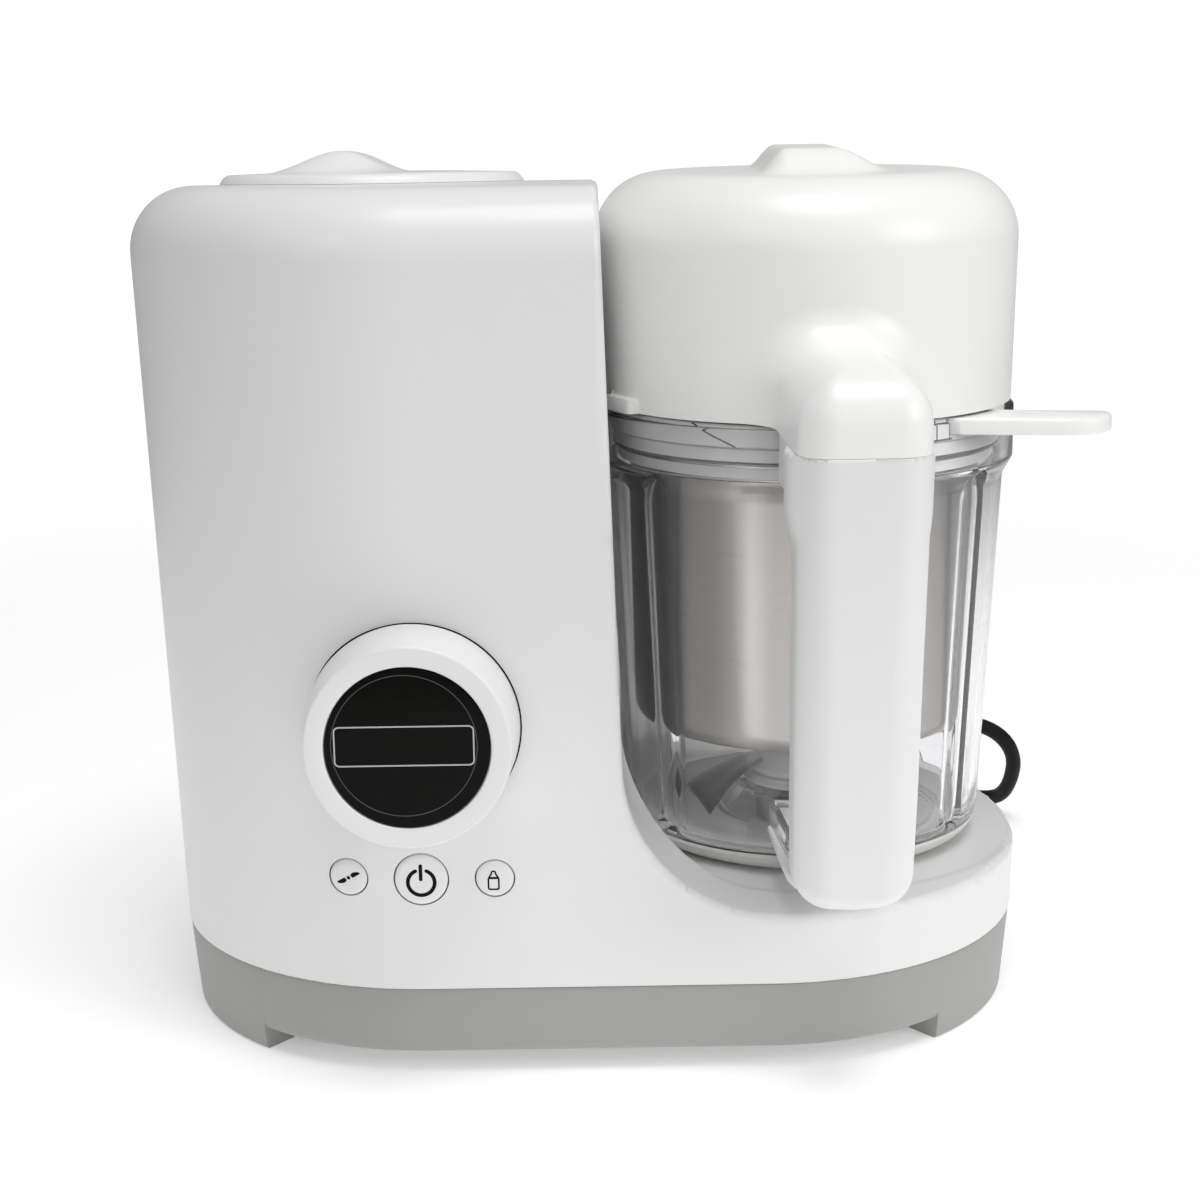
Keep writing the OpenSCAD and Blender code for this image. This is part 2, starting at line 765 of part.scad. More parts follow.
module jug_handle() {
    grip_y = -handle_reach + grip_d / 2;
    arm_y = -handle_reach + grip_d - 2;
    color("white")
    translate([jug_x, 0, 0]) rotate(handle_turn)
        difference() {
            union() {
                translate([0, grip_y, handle_low]) linear_extrude(handle_top - handle_low)
                    polygon(rounded(handle_w, grip_d, 8));
                translate([-handle_w / 2 + 2, arm_y, high_lug[0] - 3])
                    cube([handle_w - 4, -collar_r - arm_y + 8, high_lug[1] - high_lug[0] + 6]);
                // Web under the low lug
                translate([-handle_w / 2 + 3, arm_y, handle_low + 1])
                    cube([handle_w - 6, -jug_low_r - 1 - arm_y, low_lug[0] - handle_low - 1]);
            }
            lug_pocket(low_lug);
            lug_pocket(high_lug);
            translate([0, 0, high_lug[0] - 20]) cylinder(r = collar_r + seat, h = 60);
            translate([0, -handle_reach + 18, handle_low - over])
                cylinder(r = screw_r + 0.3, h = low_lug[0] - handle_low + 2 * over);
            translate([0, -handle_reach + 18, handle_low - over])
                cylinder(r = 4, h = over + 0.6 + screw_head_t + seat);
        }
}

module handle_screw() {
    color("silver")
    translate([jug_x, 0, 0]) rotate(handle_turn)
    translate([0, -handle_reach + 18, handle_low + 0.6]) {
        cylinder(r = 3.6, h = screw_head_t);
        cylinder(r = screw_r, h = low_lug[0] + 5 - handle_low);
    }
}

module blade_seat() {
    color("gainsboro")
    translate([jug_x, 0, 0])
        rotate_extrude() polygon([[blade_shaft_r + running, jug_under], [seat_neck_r - seat, jug_under],
            [seat_neck_r - seat, jug_inside + seal_t], [seat_r, jug_inside + seal_t],
            [seat_r, seat_top - 1.2], [seat_r - 2, seat_top], [blade_shaft_r + running, seat_top]]);
}

module blade_seal() {
    color("gray")
    translate([jug_x, 0, jug_inside])
        difference() {
            cylinder(r = seat_r - 0.5, h = seal_t);
            translate([0, 0, -over]) cylinder(r = seat_neck_r + 1, h = seal_t + 2 * over);
        }
}

module blade_shaft() {
    color("silver")
    translate([jug_x, 0, shaft_low]) cylinder(r = blade_shaft_r, h = hub_top + 1 - shaft_low);
}

// Hub: a foot, a core that the two blades sit on, and a cap
module blade_hub() {
    color("whitesmoke")
    translate([jug_x, 0, 0])
        rotate_extrude() polygon([[blade_shaft_r + running, hub_low], [hub_r, hub_low],
            [hub_r, blade_low], [hub_core_r, blade_low], [hub_core_r, blade_high + blade_t],
            [hub_r, blade_high + blade_t], [hub_r - 1.5, hub_top], [blade_shaft_r + running, hub_top]]);
}

// One blade: a ring on the hub's core with two swept wings
module blade_plan() {
    difference() {
        union() {
            circle(r = hub_r - gap);
            for (turn = [0, 180])
                rotate(turn) polygon(concat([[0, -7.5]], arc([12, 30], 37.5, -90, -48, 6),
                    [[blade_r, 6]], arc([6, 34], 34, -40, -90, 6)));
        }
        circle(r = hub_core_r + seat);
    }
}

module blades() {
    color("silver")
    translate([jug_x, 0, 0]) {
        translate([0, 0, blade_low]) rotate(200) linear_extrude(blade_t) blade_plan();
        translate([0, 0, blade_high]) rotate(290) linear_extrude(blade_t) blade_plan();
    }
}

module jug_coupling() {
    low = deck_z + 1.4;
    color("dimgray")
    translate([jug_x, 0, 0])
        difference() {
            translate([0, 0, low]) cylinder(r = 13, h = jug_under - 0.5 - low);
            translate([0, 0, low - over]) cylinder(r = 6.9, h = deck_z + 8.8 - low + over);
            for (turn = [0, 90])
                rotate(turn) translate([-9.9, -1.9, low - over])
                    cube([19.8, 3.8, deck_z + 8.8 - low + over]);
            translate([0, 0, shaft_low]) cylinder(r = blade_shaft_r + seat, h = 5);
        }
}

module steam_basket() {
    low = hub_top + basket_gap;
    foot_r = basket_r - 0.8;
    round = 6;
    color("silver")
    translate([jug_x, 0, 0])
        difference() {
            rotate_extrude() polygon(concat([[0, low]],
                arc([foot_r - round, low + round], round, -90, 0, 4),
                [[basket_r, rim_z], [ring_in + 1.5, rim_z], [ring_in + 1.5, rim_z + basket_sheet],
                [basket_r - basket_sheet, rim_z + basket_sheet]],
                arc([foot_r - round, low + round], round - basket_sheet, 0, -90, 4),
                [[0, low + basket_sheet]]));
            // Drain holes: one ring of six and one of twelve round the middle one
            translate([0, 0, low - over]) cylinder(r = 2, h = 3);
            for (ring = [1, 2], i = [0:6 * ring - 1])
                rotate(60 * i / ring) translate([13 * ring, 0, low - over]) cylinder(r = 2, h = 3);
        }
}

module basket_ring() {
    color("white")
    translate([jug_x, 0, 0])
        difference() {
            union() {
                rotate_extrude() polygon([[ring_in - 0.6, ring_z], [ring_r - 1.4, ring_z],
                    [ring_r - 1.4, rim_z + 4], [ring_r, rim_z + 4], [ring_r, ring_top],
                    [ring_in, ring_top], [ring_in, rim_z + basket_sheet + seat],
                    [ring_in + 1.6, rim_z + basket_sheet + seat], [ring_in + 1.6, rim_z - seat],
                    [ring_in - 0.6, rim_z - seat]]);
                difference() {
                    translate([0, 0, tab_z]) linear_extrude(tab_t) tab_plan(0);
                    translate([0, 0, tab_z - over]) cylinder(r = ring_in + 1, h = 20);
                }
            }
        }
}

// Edge of the lid, set in by its wall
function lid_edge(inset, low) = concat([[lid_r - inset, low]],
    arc([lid_max_r - lid_round, lid_top - lid_round], lid_round - inset, 0, 90, 6));

module lid() {
    flange_z = lid_z + 0.6;
    block_d = handle_reach - lid_r + 12;
    color("white")
    translate([jug_x, 0, 0])
        difference() {
            union() {
                rotate_extrude() polygon(concat([[0, lid_z]], lid_edge(0, lid_z), [[0, lid_top]]));
                // Block over the handle
                rotate(handle_turn) translate([0, -handle_reach + block_d / 2, lid_z])
                    linear_extrude(block_h) polygon(rounded(handle_w, block_d, 8));
                // Interlock lug at the rim
                rotate(lug_angle) translate([lid_r - 2, -7, lid_z]) cube([lug_r - lid_r + 1.5, 14, 4]);
                translate([0, 0, skirt_low]) cylinder(r = lid_seat_r, h = lid_z - skirt_low + over);
                translate([0, 0, lid_top]) grip_ridge();
            }
            rotate_extrude() polygon(concat([[0, flange_z + 2], [lid_mouth_r, flange_z + 2]],
                lid_edge(lid_wall, flange_z + 2), [[0, lid_top - lid_wall]]));
            translate([0, 0, skirt_low - over]) cylinder(r = lid_mouth_r, h = lid_z - skirt_low + 5);
            // Recess that holds the seal
            translate([0, 0, lid_z - over])
                difference() {
                    cylinder(r = lid_r - lid_wall, h = flange_z - lid_z + over);
                    translate([0, 0, -over]) cylinder(r = lid_seat_r, h = 5);
                }
            translate([-lid_max_r - over, 0, nozzle_z]) rotate([0, 90, 0]) cylinder(r = nozzle_r, h = 10);
        }
}

// Grip on top of the lid, steep on its left side
module grip_ridge() {
    rotate([90, 0, 0])
        linear_extrude(56, center = true)
            polygon(concat([[-17, -over], [-17, 0]], arc([-8, ridge_h - 4], 4, 140, 90, 3),
                arc([5, ridge_h - 6], 6, 90, 60, 3), [[17, 0], [17, -over]]));
}

module lid_seal() {
    flange_z = lid_z + 0.6;
    low = ring_top + 0.35;
    color("gainsboro")
    translate([jug_x, 0, low])
        difference() {
            cylinder(r = lid_r - lid_wall - 0.4, h = flange_z - seat / 2 - low);
            translate([0, 0, -over]) cylinder(r = lid_seat_r + 0.4, h = 5);
        }
}

module cord_bushing() {
    color("black")
    bushing_place()
        difference() {
            rotate_extrude() polygon([[0, exit_r - 6.5], [bushing_r + 1, exit_r - 6.5],
                [bushing_r + 1, exit_r - 4.2], [bushing_r, exit_r - 4.2], [bushing_r, exit_r + 0.6],
                [bushing_r + 2, exit_r + 0.6], [bushing_r + 2, exit_r + 3],
                [bushing_r + 1, exit_r + 4.5], [cord_d / 2 + 0.9, exit_r + bushing_len],
                [0, exit_r + bushing_len]]);
            translate([0, 0, exit_r - 10]) cylinder(r = 2, h = 14);
        }
}

module cord_lead() {
    out = [cos(exit_angle), sin(exit_angle), 0];
    path = concat([cord_exit, cord_exit + cord_d * out], lead_points,
        [coil_start + [cord_d, 0, 0], coil_start]);
    color("black") tube(path, cord_d, 8);
}

// Radius and height of the coil after a number of turns: in, half a turn of climb, and out
function coil_r(turn) = turn < coil_turns ? coil_out_r - coil_pitch * turn
    : turn < coil_turns + 0.5 ? coil_out_r - coil_pitch * coil_turns
    : coil_out_r - coil_pitch * (2 * coil_turns + 0.5 - turn);
function coil_z(turn) = let (t = min(max((turn - coil_turns) / 0.5, 0), 1))
    coil_low_z + (coil_high_z - coil_low_z) * t * t * (3 - 2 * t);
coil_steps = 24;
coil_total = 2 * coil_turns + 0.5;
coil_points = [for (i = [0:coil_total * coil_steps]) let (turn = i / coil_steps, a = 90 + 360 * turn)
    [coil_centre[0] + coil_r(turn) * cos(a), coil_centre[1] + coil_r(turn) * sin(a), coil_z(turn)]];
coil_last = coil_points[len(coil_points) - 1];
coil_end = coil_last - [2 * cord_d, 0, 0];

// Least gap of the coil to itself, over points more than half a turn apart
coil_gap = min([for (i = [0:len(coil_points) - 1], k = [i + coil_steps / 2:len(coil_points) - 1])
    norm(coil_points[i] - coil_points[k])]) - cord_d;
echo(coil_gap = coil_gap);

module cord_coil() {
    path = concat([coil_start, coil_start - [cord_d / 2, 0, 0]], coil_points,
        [coil_last - [cord_d, 0, 0], coil_end]);
    color("black") tube(path, cord_d, 6);
}

// A strap round the bundle of turns
module cord_tie() {
    strap = 0.9;
    in_r = coil_r(coil_turns) - cord_d / 2 - 0.5;
    out_r = coil_out_r + cord_d / 2 + 0.5;
    top = coil_high_z + cord_d / 2 + 0.4;
    color("dimgray")
    translate([coil_centre[0], coil_centre[1], 0]) rotate(-20)
        difference() {
            translate([in_r - strap, -4, 0]) cube([out_r - in_r + 2 * strap, 8, top + strap]);
            translate([in_r, -4 - over, strap]) cube([out_r - in_r, 8 + 2 * over, top - strap]);
        }
}

// The plug lies on the floor with its axis along -X
plug_len = 36;
plug_w = 24;
module plug_body() {
    color("black")
    translate([coil_end[0], coil_end[1], 0]) {
        translate([-plug_len / 2 - 8, 0, 0]) linear_extrude(2 * coil_high_z - 0.6)
            polygon(rounded(plug_len - 12, plug_w, 5));
        translate([0, 0, coil_high_z]) rotate([0, -90, 0])
            cylinder(r1 = cord_d / 2 + 0.8, r2 = 7, h = 16);
    }
}

module plug_pins() {
    color("silver")
    for (side = [-1, 1])
        translate([coil_end[0] - plug_len - 2, coil_end[1] + 9.5 * side, coil_high_z])
            rotate([0, -90, 0]) cylinder(r = 2, h = 19);
}

module placed() {
    translate(frame_shift) children();
}

placed() housing();
placed() bottom_cover();
placed() foot_pads();
placed() cover_screws();
placed() chassis();
placed() motor();
placed() motor_pulley();
placed() drive_belt();
placed() drive_pulley();
placed() drive_shaft();
placed() drive_bush();
placed() drive_coupling();
placed() water_tank();
placed() tank_lid();
placed() tank_gasket();
placed() boiler();
placed() steam_pipe();
placed() steam_nozzle();
placed() control_board();
placed() display_pod();
placed() display_window();
placed() control_knob();
placed() power_button();
placed() pulse_button();
placed() bottle_button();
placed() button_membrane();
placed() interlock_switch();
placed() jug();
placed() jug_handle();
placed() handle_screw();
placed() blade_seat();
placed() blade_seal();
placed() blade_shaft();
placed() blade_hub();
placed() blades();
placed() jug_coupling();
placed() steam_basket();
placed() basket_ring();
placed() lid();
placed() lid_seal();
placed() cord_bushing();
placed() cord_lead();
placed() cord_coil();
placed() cord_tie();
placed() plug_body();
placed() plug_pins();
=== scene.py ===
"""Baby food steamer blender: the looks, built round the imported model."""
import json
from math import acos, cos, pi, radians, sin, tan

import bmesh
import bpy
import numpy as np
from mathutils import Matrix, Vector


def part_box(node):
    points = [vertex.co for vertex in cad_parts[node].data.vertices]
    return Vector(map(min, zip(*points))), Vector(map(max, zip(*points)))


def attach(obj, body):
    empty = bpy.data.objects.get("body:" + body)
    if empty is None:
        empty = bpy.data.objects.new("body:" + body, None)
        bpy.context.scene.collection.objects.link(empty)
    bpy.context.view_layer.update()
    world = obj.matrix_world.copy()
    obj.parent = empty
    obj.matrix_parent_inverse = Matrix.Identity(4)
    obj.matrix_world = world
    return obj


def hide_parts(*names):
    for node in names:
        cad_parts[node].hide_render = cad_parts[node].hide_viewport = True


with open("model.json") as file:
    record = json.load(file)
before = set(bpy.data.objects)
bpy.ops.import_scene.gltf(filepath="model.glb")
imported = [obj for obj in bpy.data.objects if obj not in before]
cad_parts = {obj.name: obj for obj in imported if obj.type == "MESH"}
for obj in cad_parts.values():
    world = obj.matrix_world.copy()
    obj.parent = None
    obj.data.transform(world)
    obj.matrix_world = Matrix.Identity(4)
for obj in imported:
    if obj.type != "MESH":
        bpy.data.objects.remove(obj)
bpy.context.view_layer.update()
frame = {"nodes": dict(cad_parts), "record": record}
nodes = frame["nodes"]

# Places. Shapes are worked out in millimetres about the middle of the housing,
# x to the right, y to the back and z up; placed() carries them into the frame.
MM = 0.001
JUG_X = 60.0
JUG_AXIS, ORIGIN = (JUG_X, 0.0), (0.0, 0.0)
basket_low, basket_high = (np.array(c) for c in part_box("steam_basket"))
SHIFT = [1, 1, 0] * (basket_low + basket_high) / 2 - [JUG_X * MM, 0, 0]


def node_box(node):
    """Lowest and highest corner of a CAD node, in millimetres about the housing."""
    low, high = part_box(node)
    return (np.array(low) - SHIFT) / MM, (np.array(high) - SHIFT) / MM


def heights(node):
    """Lowest and highest z of a CAD node."""
    low, high = node_box(node)
    return low[2], high[2]


def placed(points):
    """Millimetres about the housing, carried into the frame in metres."""
    return np.asarray(points, float) * MM + SHIFT


def linked(name, data):
    """A new object of that data, put into the scene."""
    obj = bpy.data.objects.new(name, data)
    bpy.context.collection.objects.link(obj)
    return obj


def eased(t):
    """A smooth step from 0 to 1."""
    t = np.clip(t, 0, 1)
    return t * t * (3 - 2 * t)


def spun(x, y, angle):
    """Two parts turned about 0 by an angle."""
    return x * np.cos(angle) - y * np.sin(angle), x * np.sin(angle) + y * np.cos(angle)


def once_round(count):
    """Angles once round, evenly spaced."""
    return 2 * pi * np.arange(count) / count


def round_axis(radius, height, angle, centre=ORIGIN):
    """Points at those radii, heights and angles about a vertical axis."""
    radius, height, angle = np.broadcast_arrays(radius, height, angle)
    x, y = spun(radius, 0.0, angle)
    return np.stack([centre[0] + x, centre[1] + y, height], axis=-1)


# Sizes that several pieces share, read from the frame where it has them
SEAM_Z, TOWER_TOP = heights("housing")
JUG_FOOT, COLLAR_TOP = heights("jug")
KNOB_Z = sum(heights("control_knob")) / 2
BUTTON_Z = sum(heights("power_button")) / 2 - 1.0
DECK_Z = 44.2
LEAN = 0.0285
CORNER_X, CORNER_Y, CORNER_R = 45.6, 4.0, 75.0
COLLAR_Z, COLLAR_R = COLLAR_TOP - 14.4, 58.9
LID_Z = COLLAR_TOP + 1.5
LID_TOP = LID_Z + 62.8
LID_R, LID_MAX_R = 58.0, 59.0
HANDLE_REACH, HANDLE_ANGLE = 112.0, radians(2.2)
HANDLE_SHIFT, HANDLE_LEAN, HANDLE_Z = -0.75, 0.0155, 65.0
TANK_X, CONTROL_X = -60.0, -47.0

# Camera: the photograph's viewing angle
IMAGE_PX, FOCAL_PX, SENSOR_MM = 1200.0, 2199.9, 36.0
CAMERA_AT = (0.0, -621.74, 256.5)
YAW, PITCH, ROLL = (radians(a) for a in (0.13, 13.138, 0.846))


def make_camera():
    """A camera whose axes are the picture's right, up and backward directions."""
    level = cos(PITCH)
    ahead = np.array([sin(YAW) * level, cos(YAW) * level, -sin(PITCH)])
    right = np.array([cos(YAW), -sin(YAW), 0.0])
    down = np.cross(ahead, right)
    across, below = spun(right, down, -ROLL)
    data = bpy.data.cameras.new("camera")
    data.sensor_width = SENSOR_MM
    data.lens = FOCAL_PX * SENSOR_MM / IMAGE_PX
    data.clip_start = 0.01
    camera = linked("camera", data)
    turn = Matrix(np.stack([across, -below, -ahead], axis=1).tolist()).to_4x4()
    camera.matrix_world = Matrix.Translation(placed(CAMERA_AT).tolist()) @ turn
    bpy.context.scene.camera = camera


make_camera()

# Cord: the route's points, its coil and its tail
CORD_D = 5.2
EXIT_ANGLE, EXIT_X, EXIT_Z, EXIT_GAP = radians(58.0), 47.0, 35.5, 0.36
BUSHING_LEN = 28.0
OUTWARD = np.array([cos(EXIT_ANGLE), sin(EXIT_ANGLE), 0.0])
CORD_EXIT = np.array([EXIT_X, CORNER_Y, EXIT_Z]) + (CORNER_R + EXIT_GAP + BUSHING_LEN) * OUTWARD
LEAD = np.array([
    [108, 101, 36.4], [115, 107, 38], [123, 110, 39.6], [131, 111.5, 39.4], [138, 112.5, 36.4],
    [143.2, 114, 31.4], [146.0, 116.4, 25.2], [146.5, 120, 18.8], [145.6, 125, 11.2],
    [143.2, 131, 5.8], [137.4, 137.5, 3.6], [127.5, 144, 3.2], [118, 149.5, 2.8],
    [107, 153.2, 2.7], [95, 155.2, 2.7], [82, 155.8, 2.7],
    *([x, 156, 2.7] for x in range(69, 0, -13)), [-9, 156, 2.8],
    [-22, 156, 3], [-35, 156, 3.4], [-45, 156, 3.8], [-50, 156, 3.9]])
COIL_CENTRE = (-62.0, 122.0)
COIL_OUT_R, COIL_PITCH, COIL_TURNS, COIL_CLIMB = 34.0, 5.8, 2.25, 0.5
COIL_LOW_Z = CORD_D / 2 + 1.3
COIL_TOTAL = 2 * COIL_TURNS + COIL_CLIMB
COIL_STEPS = 24


def coil_route():
    """Turns that wind in at the low level, climb for half a turn and wind out on top."""
    turn = np.arange(int(COIL_TOTAL * COIL_STEPS) + 1) / COIL_STEPS
    wound = np.clip(np.minimum(turn, COIL_TOTAL - turn), 0, COIL_TURNS)
    level = COIL_LOW_Z + COIL_PITCH * eased((turn - COIL_TURNS) / COIL_CLIMB)
    angle = pi / 2 + 2 * pi * turn
    return round_axis(COIL_OUT_R - COIL_PITCH * wound, level, angle, COIL_CENTRE)


def make_cord():
    """The route from the bushing to the plug as one smooth spline with a round bevel."""
    coil = coil_route()
    one, two = np.array([CORD_D, 0, 0]), np.array([2 * CORD_D, 0, 0])
    start = [CORD_EXIT - 6 * OUTWARD, CORD_EXIT, CORD_EXIT + CORD_D * OUTWARD]
    into_coil, tail = [coil[0] + two, coil[0] + one], [coil[-1] - one, coil[-1] - two]
    points = placed(np.concatenate([start, LEAD, into_coil, coil, tail]))
    curve = bpy.data.curves.new("cord", "CURVE")
    curve.dimensions = "3D"
    curve.bevel_depth = 1.0
    curve.bevel_resolution = 4
    curve.resolution_u = 3
    curve.use_fill_caps = True
    spline = curve.splines.new("NURBS")
    spline.points.add(len(points) - 1)
    spline.points.foreach_set("co", np.c_[points, np.ones(len(points))].ravel())
    spline.points.foreach_set("radius", np.full(len(points), CORD_D / 2 * MM))
    spline.order_u = 3
    spline.use_endpoint_u = True
    cord = linked("mains_cord", curve)
    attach(cord, "base")
    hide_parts("cord_lead", "cord_coil")
    span = float(np.linalg.norm(np.diff(points, axis=0), axis=1).sum())
    return cord, points[0], span


mains_cord, cord_start, cord_length = make_cord()


# Materials
class Value:
    """A socket of a material's nodes; arithmetic on it adds Math nodes."""

    def __init__(self, finish, socket):
        self.finish, self.socket = finish, socket

    def _math(self, operation, first, second):
        return self.finish.add("Math", {0: first, 1: second}, operation=operation)

    def __add__(self, other):
        return self._math("ADD", self, other)

    __radd__ = __add__

    def __sub__(self, other):
        return self._math("SUBTRACT", self, other)

    def __rsub__(self, other):
        return self._math("SUBTRACT", other, self)

    def __mul__(self, other):
        return self._math("MULTIPLY", self, other)

    __rmul__ = __mul__


class Finish:
    """A node material: add() makes a node from its kind, its sockets and its settings."""

    def __init__(self, name="", tree=None):
        self.place = None
        if tree:
            self.tree = tree
            return
        self.material = bpy.data.materials.new(name)
        self.material.use_nodes = True
        self.tree = self.material.node_tree
        self.shader = self.tree.nodes["Principled BSDF"]
        self.output = self.tree.nodes["Material Output"]

    def add(self, kind, sockets=None, out=0, **settings):
        node = self.tree.nodes.new("ShaderNode" + kind)
        for key, value in settings.items():
            setattr(node, key, value)
        for key, value in (sockets or {}).items():
            self.feed(node.inputs[key], value)
        return Value(self, node.outputs[out])

    def feed(self, socket, value):
        """A value for a socket: a link, or a constant with a colour's alpha filled in."""
        if isinstance(value, Value):
            self.tree.links.new(value.socket, socket)
        elif socket.type == "RGBA":
            socket.default_value = (*value, 1.0)
        else:
            socket.default_value = value

    def set(self, **sockets):
        for key, value in sockets.items():
            self.feed(self.shader.inputs[key.replace("_", " ")], value)

    def noise(self, scale, detail=2.0, stretch=(1.0, 1.0, 1.0), rough=0.5):
        """Noise on Object coordinates, so many waves to the metre, drawn out by stretch."""
        if self.place is None:
            self.place = self.add("TexCoord", out=3)
        sizes = tuple(scale * s for s in stretch)
        where = self.add("Mapping", {"Vector": self.place, "Scale": sizes}, vector_type="POINT")
        return self.add("TexNoise", {"Vector": where, "Scale": 1.0, "Detail": detail,
                                     "Roughness": rough})

    def bump(self, height, strength, depth):
        return self.add("Bump", {"Height": height, "Strength": strength, "Distance": depth})

    def blend(self, factor, first, second):
        return self.add("Mix", {0: factor, 6: first, 7: second}, 2, data_type="RGBA")

    def ramp(self, value, start, end, first=0.0, last=1.0):
        """A smooth step from first to last as the value goes from start to end."""
        return self.add("MapRange", {"Value": value, "From Min": start, "From Max": end,
                                     "To Min": first, "To Max": last},
                        interpolation_type="SMOOTHSTEP")


def moulded(name, colour, shade, roughness, grain=900.0, depth=0.00004, coat=0.0, gloss=0.5):
    """Moulded plastic: a slow drift between two tones, fine grain in gloss and height."""
    paint = Finish(name)
    drift = paint.noise(9.0, 3.0)
    fine = paint.noise(grain, 3.0)
    paint.set(Base_Color=paint.blend(drift, colour, shade),
              Roughness=roughness + (fine - 0.5) * 0.10 + (drift - 0.5) * 0.06,
              Normal=paint.bump(fine, 0.18, depth), Specular_IOR_Level=gloss)
    if coat:
        paint.set(Coat_Weight=coat, Coat_Roughness=0.12)
    return paint.material


def brushed(name, colour, shade, roughness, stretch, lines, depth=0.00003):
    """Brushed metal: fine streaks drawn out along the brushing, in tone, gloss and height."""
    paint = Finish(name)
    fine = paint.noise(lines, 3.0, stretch, 0.7)
    broad = paint.noise(lines * 0.12, 2.0, stretch)
    paint.set(Base_Color=paint.blend(fine * 0.6 + broad * 0.4, colour, shade), Metallic=1.0,
              Roughness=roughness + (fine - 0.5) * 0.22 + (broad - 0.5) * 0.08,
              Normal=paint.bump(fine, 0.35, depth))
    return paint.material


BASKET_R = 49.2


def basket_steel(name):
    """Steel brushed round the cup, with upright bands painted into its colour: a painted dark
    reflection at its left end, a painted highlight band left of its middle and painted shade on its
    right side.
    """
    paint = Finish(name)
    fine = paint.noise(5200.0, 3.0, (0.004, 0.004, 1.0), 0.7)
    place_x = paint.add("SeparateXYZ", {0: paint.place})
    across = (place_x - (JUG_X * MM + float(SHIFT[0]))) * (1000.0 / BASKET_R)
    # Painted dark reflection: the cup's left end darkened nearly to black
    painted_dark_reflection = paint.ramp(across, -0.66, -0.86, 0.0, 0.97)
    # Painted highlight: an upright pale band left of the cup's middle
    off = paint.add("Math", {0: across + 0.40}, operation="ABSOLUTE")
    painted_highlight_band = paint.ramp(off, 0.17, 0.02, 0.0, 0.7)
    # Painted shade: the cup's right side darkened
    painted_shade_side = paint.ramp(across, 0.40, 0.75, 0.0, 0.7)
    steel = paint.blend(fine, (0.50, 0.475, 0.45), (0.62, 0.59, 0.56))
    steel = paint.blend(painted_shade_side, steel, (0.17, 0.165, 0.155))
    steel = paint.blend(painted_highlight_band, steel, (0.90, 0.87, 0.84))
    paint.set(Base_Color=paint.blend(painted_dark_reflection, steel, (0.035, 0.035, 0.036)), Metallic=1.0,
              Roughness=0.30 + (fine - 0.5) * 0.15, Normal=paint.bump(fine, 0.3, 0.00001),
              Anisotropic=0.7, Anisotropic_Rotation=0.25)
    return paint.material


def clear_plastic(name, colour, shadow_colour):
    """Clear moulded plastic: refracting, with a faint ripple, and open to the light for shadows."""
    paint = Finish(name)
    ripple = paint.noise(40.0, 2.0)
    paint.set(Base_Color=colour, Transmission_Weight=0.965, IOR=1.46,
              Roughness=0.03 + (ripple - 0.5) * 0.03, Normal=paint.bump(ripple, 0.05, 0.0004))
    shadow = paint.add("LightPath", out=1)
    lit = paint.add("BsdfTransparent", {0: shadow_colour})
    clear = Value(paint, paint.shader.outputs[0])
    mixed = paint.add("MixShader", {0: shadow, 1: clear, 2: lit})
    paint.feed(paint.output.inputs["Surface"], mixed)
    return paint.material


def grey(tone):
    """A colour with equal parts."""
    return (tone, tone, tone)


def glossy_black(name):
    """Black glass-like plastic with a trace of dust in its gloss."""
    paint = Finish(name)
    dust = paint.noise(300.0, 4.0)
    paint.set(Base_Color=paint.blend(dust, grey(0.004), (0.007, 0.007, 0.006)),
              Roughness=0.10 + dust * 0.06, Specular_IOR_Level=0.06)
    return paint.material


EVEN = (1.0, 1.0, 1.0)
SLOTS = {
    "white_shell": moulded("white_plastic", (0.80, 0.805, 0.80), (0.83, 0.835, 0.83), 0.36,
                           coat=0.10),
    "grey_base": moulded("grey_plastic", (0.345, 0.341, 0.336), (0.370, 0.366, 0.361), 0.46),
    "rubber": moulded("foot_rubber", grey(0.020), grey(0.030), 0.75, 600.0, 0.0001),
    "steel": brushed("blade_steel", (0.20, 0.195, 0.19), (0.27, 0.265, 0.26), 0.30,
                     (1.0, 1.0, 0.3), 2600.0, 0.00001),
    "brushed_basket": basket_steel("basket_steel"),
    "inner_plastic": moulded("inner_plastic", (0.74, 0.74, 0.72), (0.79, 0.79, 0.77), 0.45),
    "dark_plastic": moulded("dark_plastic", (0.05, 0.05, 0.052), (0.07, 0.07, 0.072), 0.5),
    "bronze": brushed("bush_bronze", (0.42, 0.26, 0.12), (0.52, 0.33, 0.16), 0.35, EVEN, 900.0),
    "belt_rubber": moulded("belt_rubber", grey(0.012), grey(0.02), 0.8, 700.0, 0.0001),
    "board": moulded("board_green", (0.010, 0.10, 0.035), (0.015, 0.13, 0.05), 0.4),
    "display_black": glossy_black("display_black"),
    "clear_jug": clear_plastic("clear_jug", (0.95, 0.95, 0.96), (0.985, 0.985, 0.99)),
    "cord_black": moulded("cord_black", grey(0.006), grey(0.010), 0.46, 500.0, 0.00008,
                          gloss=0.12),
    "plug_metal": brushed("pin_metal", (0.60, 0.56, 0.48), (0.70, 0.66, 0.58), 0.25,
                          (0.05, 1.0, 1.0), 1500.0),
}
# A lighter copy of the white plastic for the lid, its skirt and the lift ring: painted light that
# lifts the shade they sit in beside the tower, under the lid and behind the clear collar
WHITE_PAINTED_LIGHTER = moulded("white_plastic_painted_lighter", (0.905, 0.905, 0.895), (0.925, 0.925, 0.915), 0.36, coat=0.10)
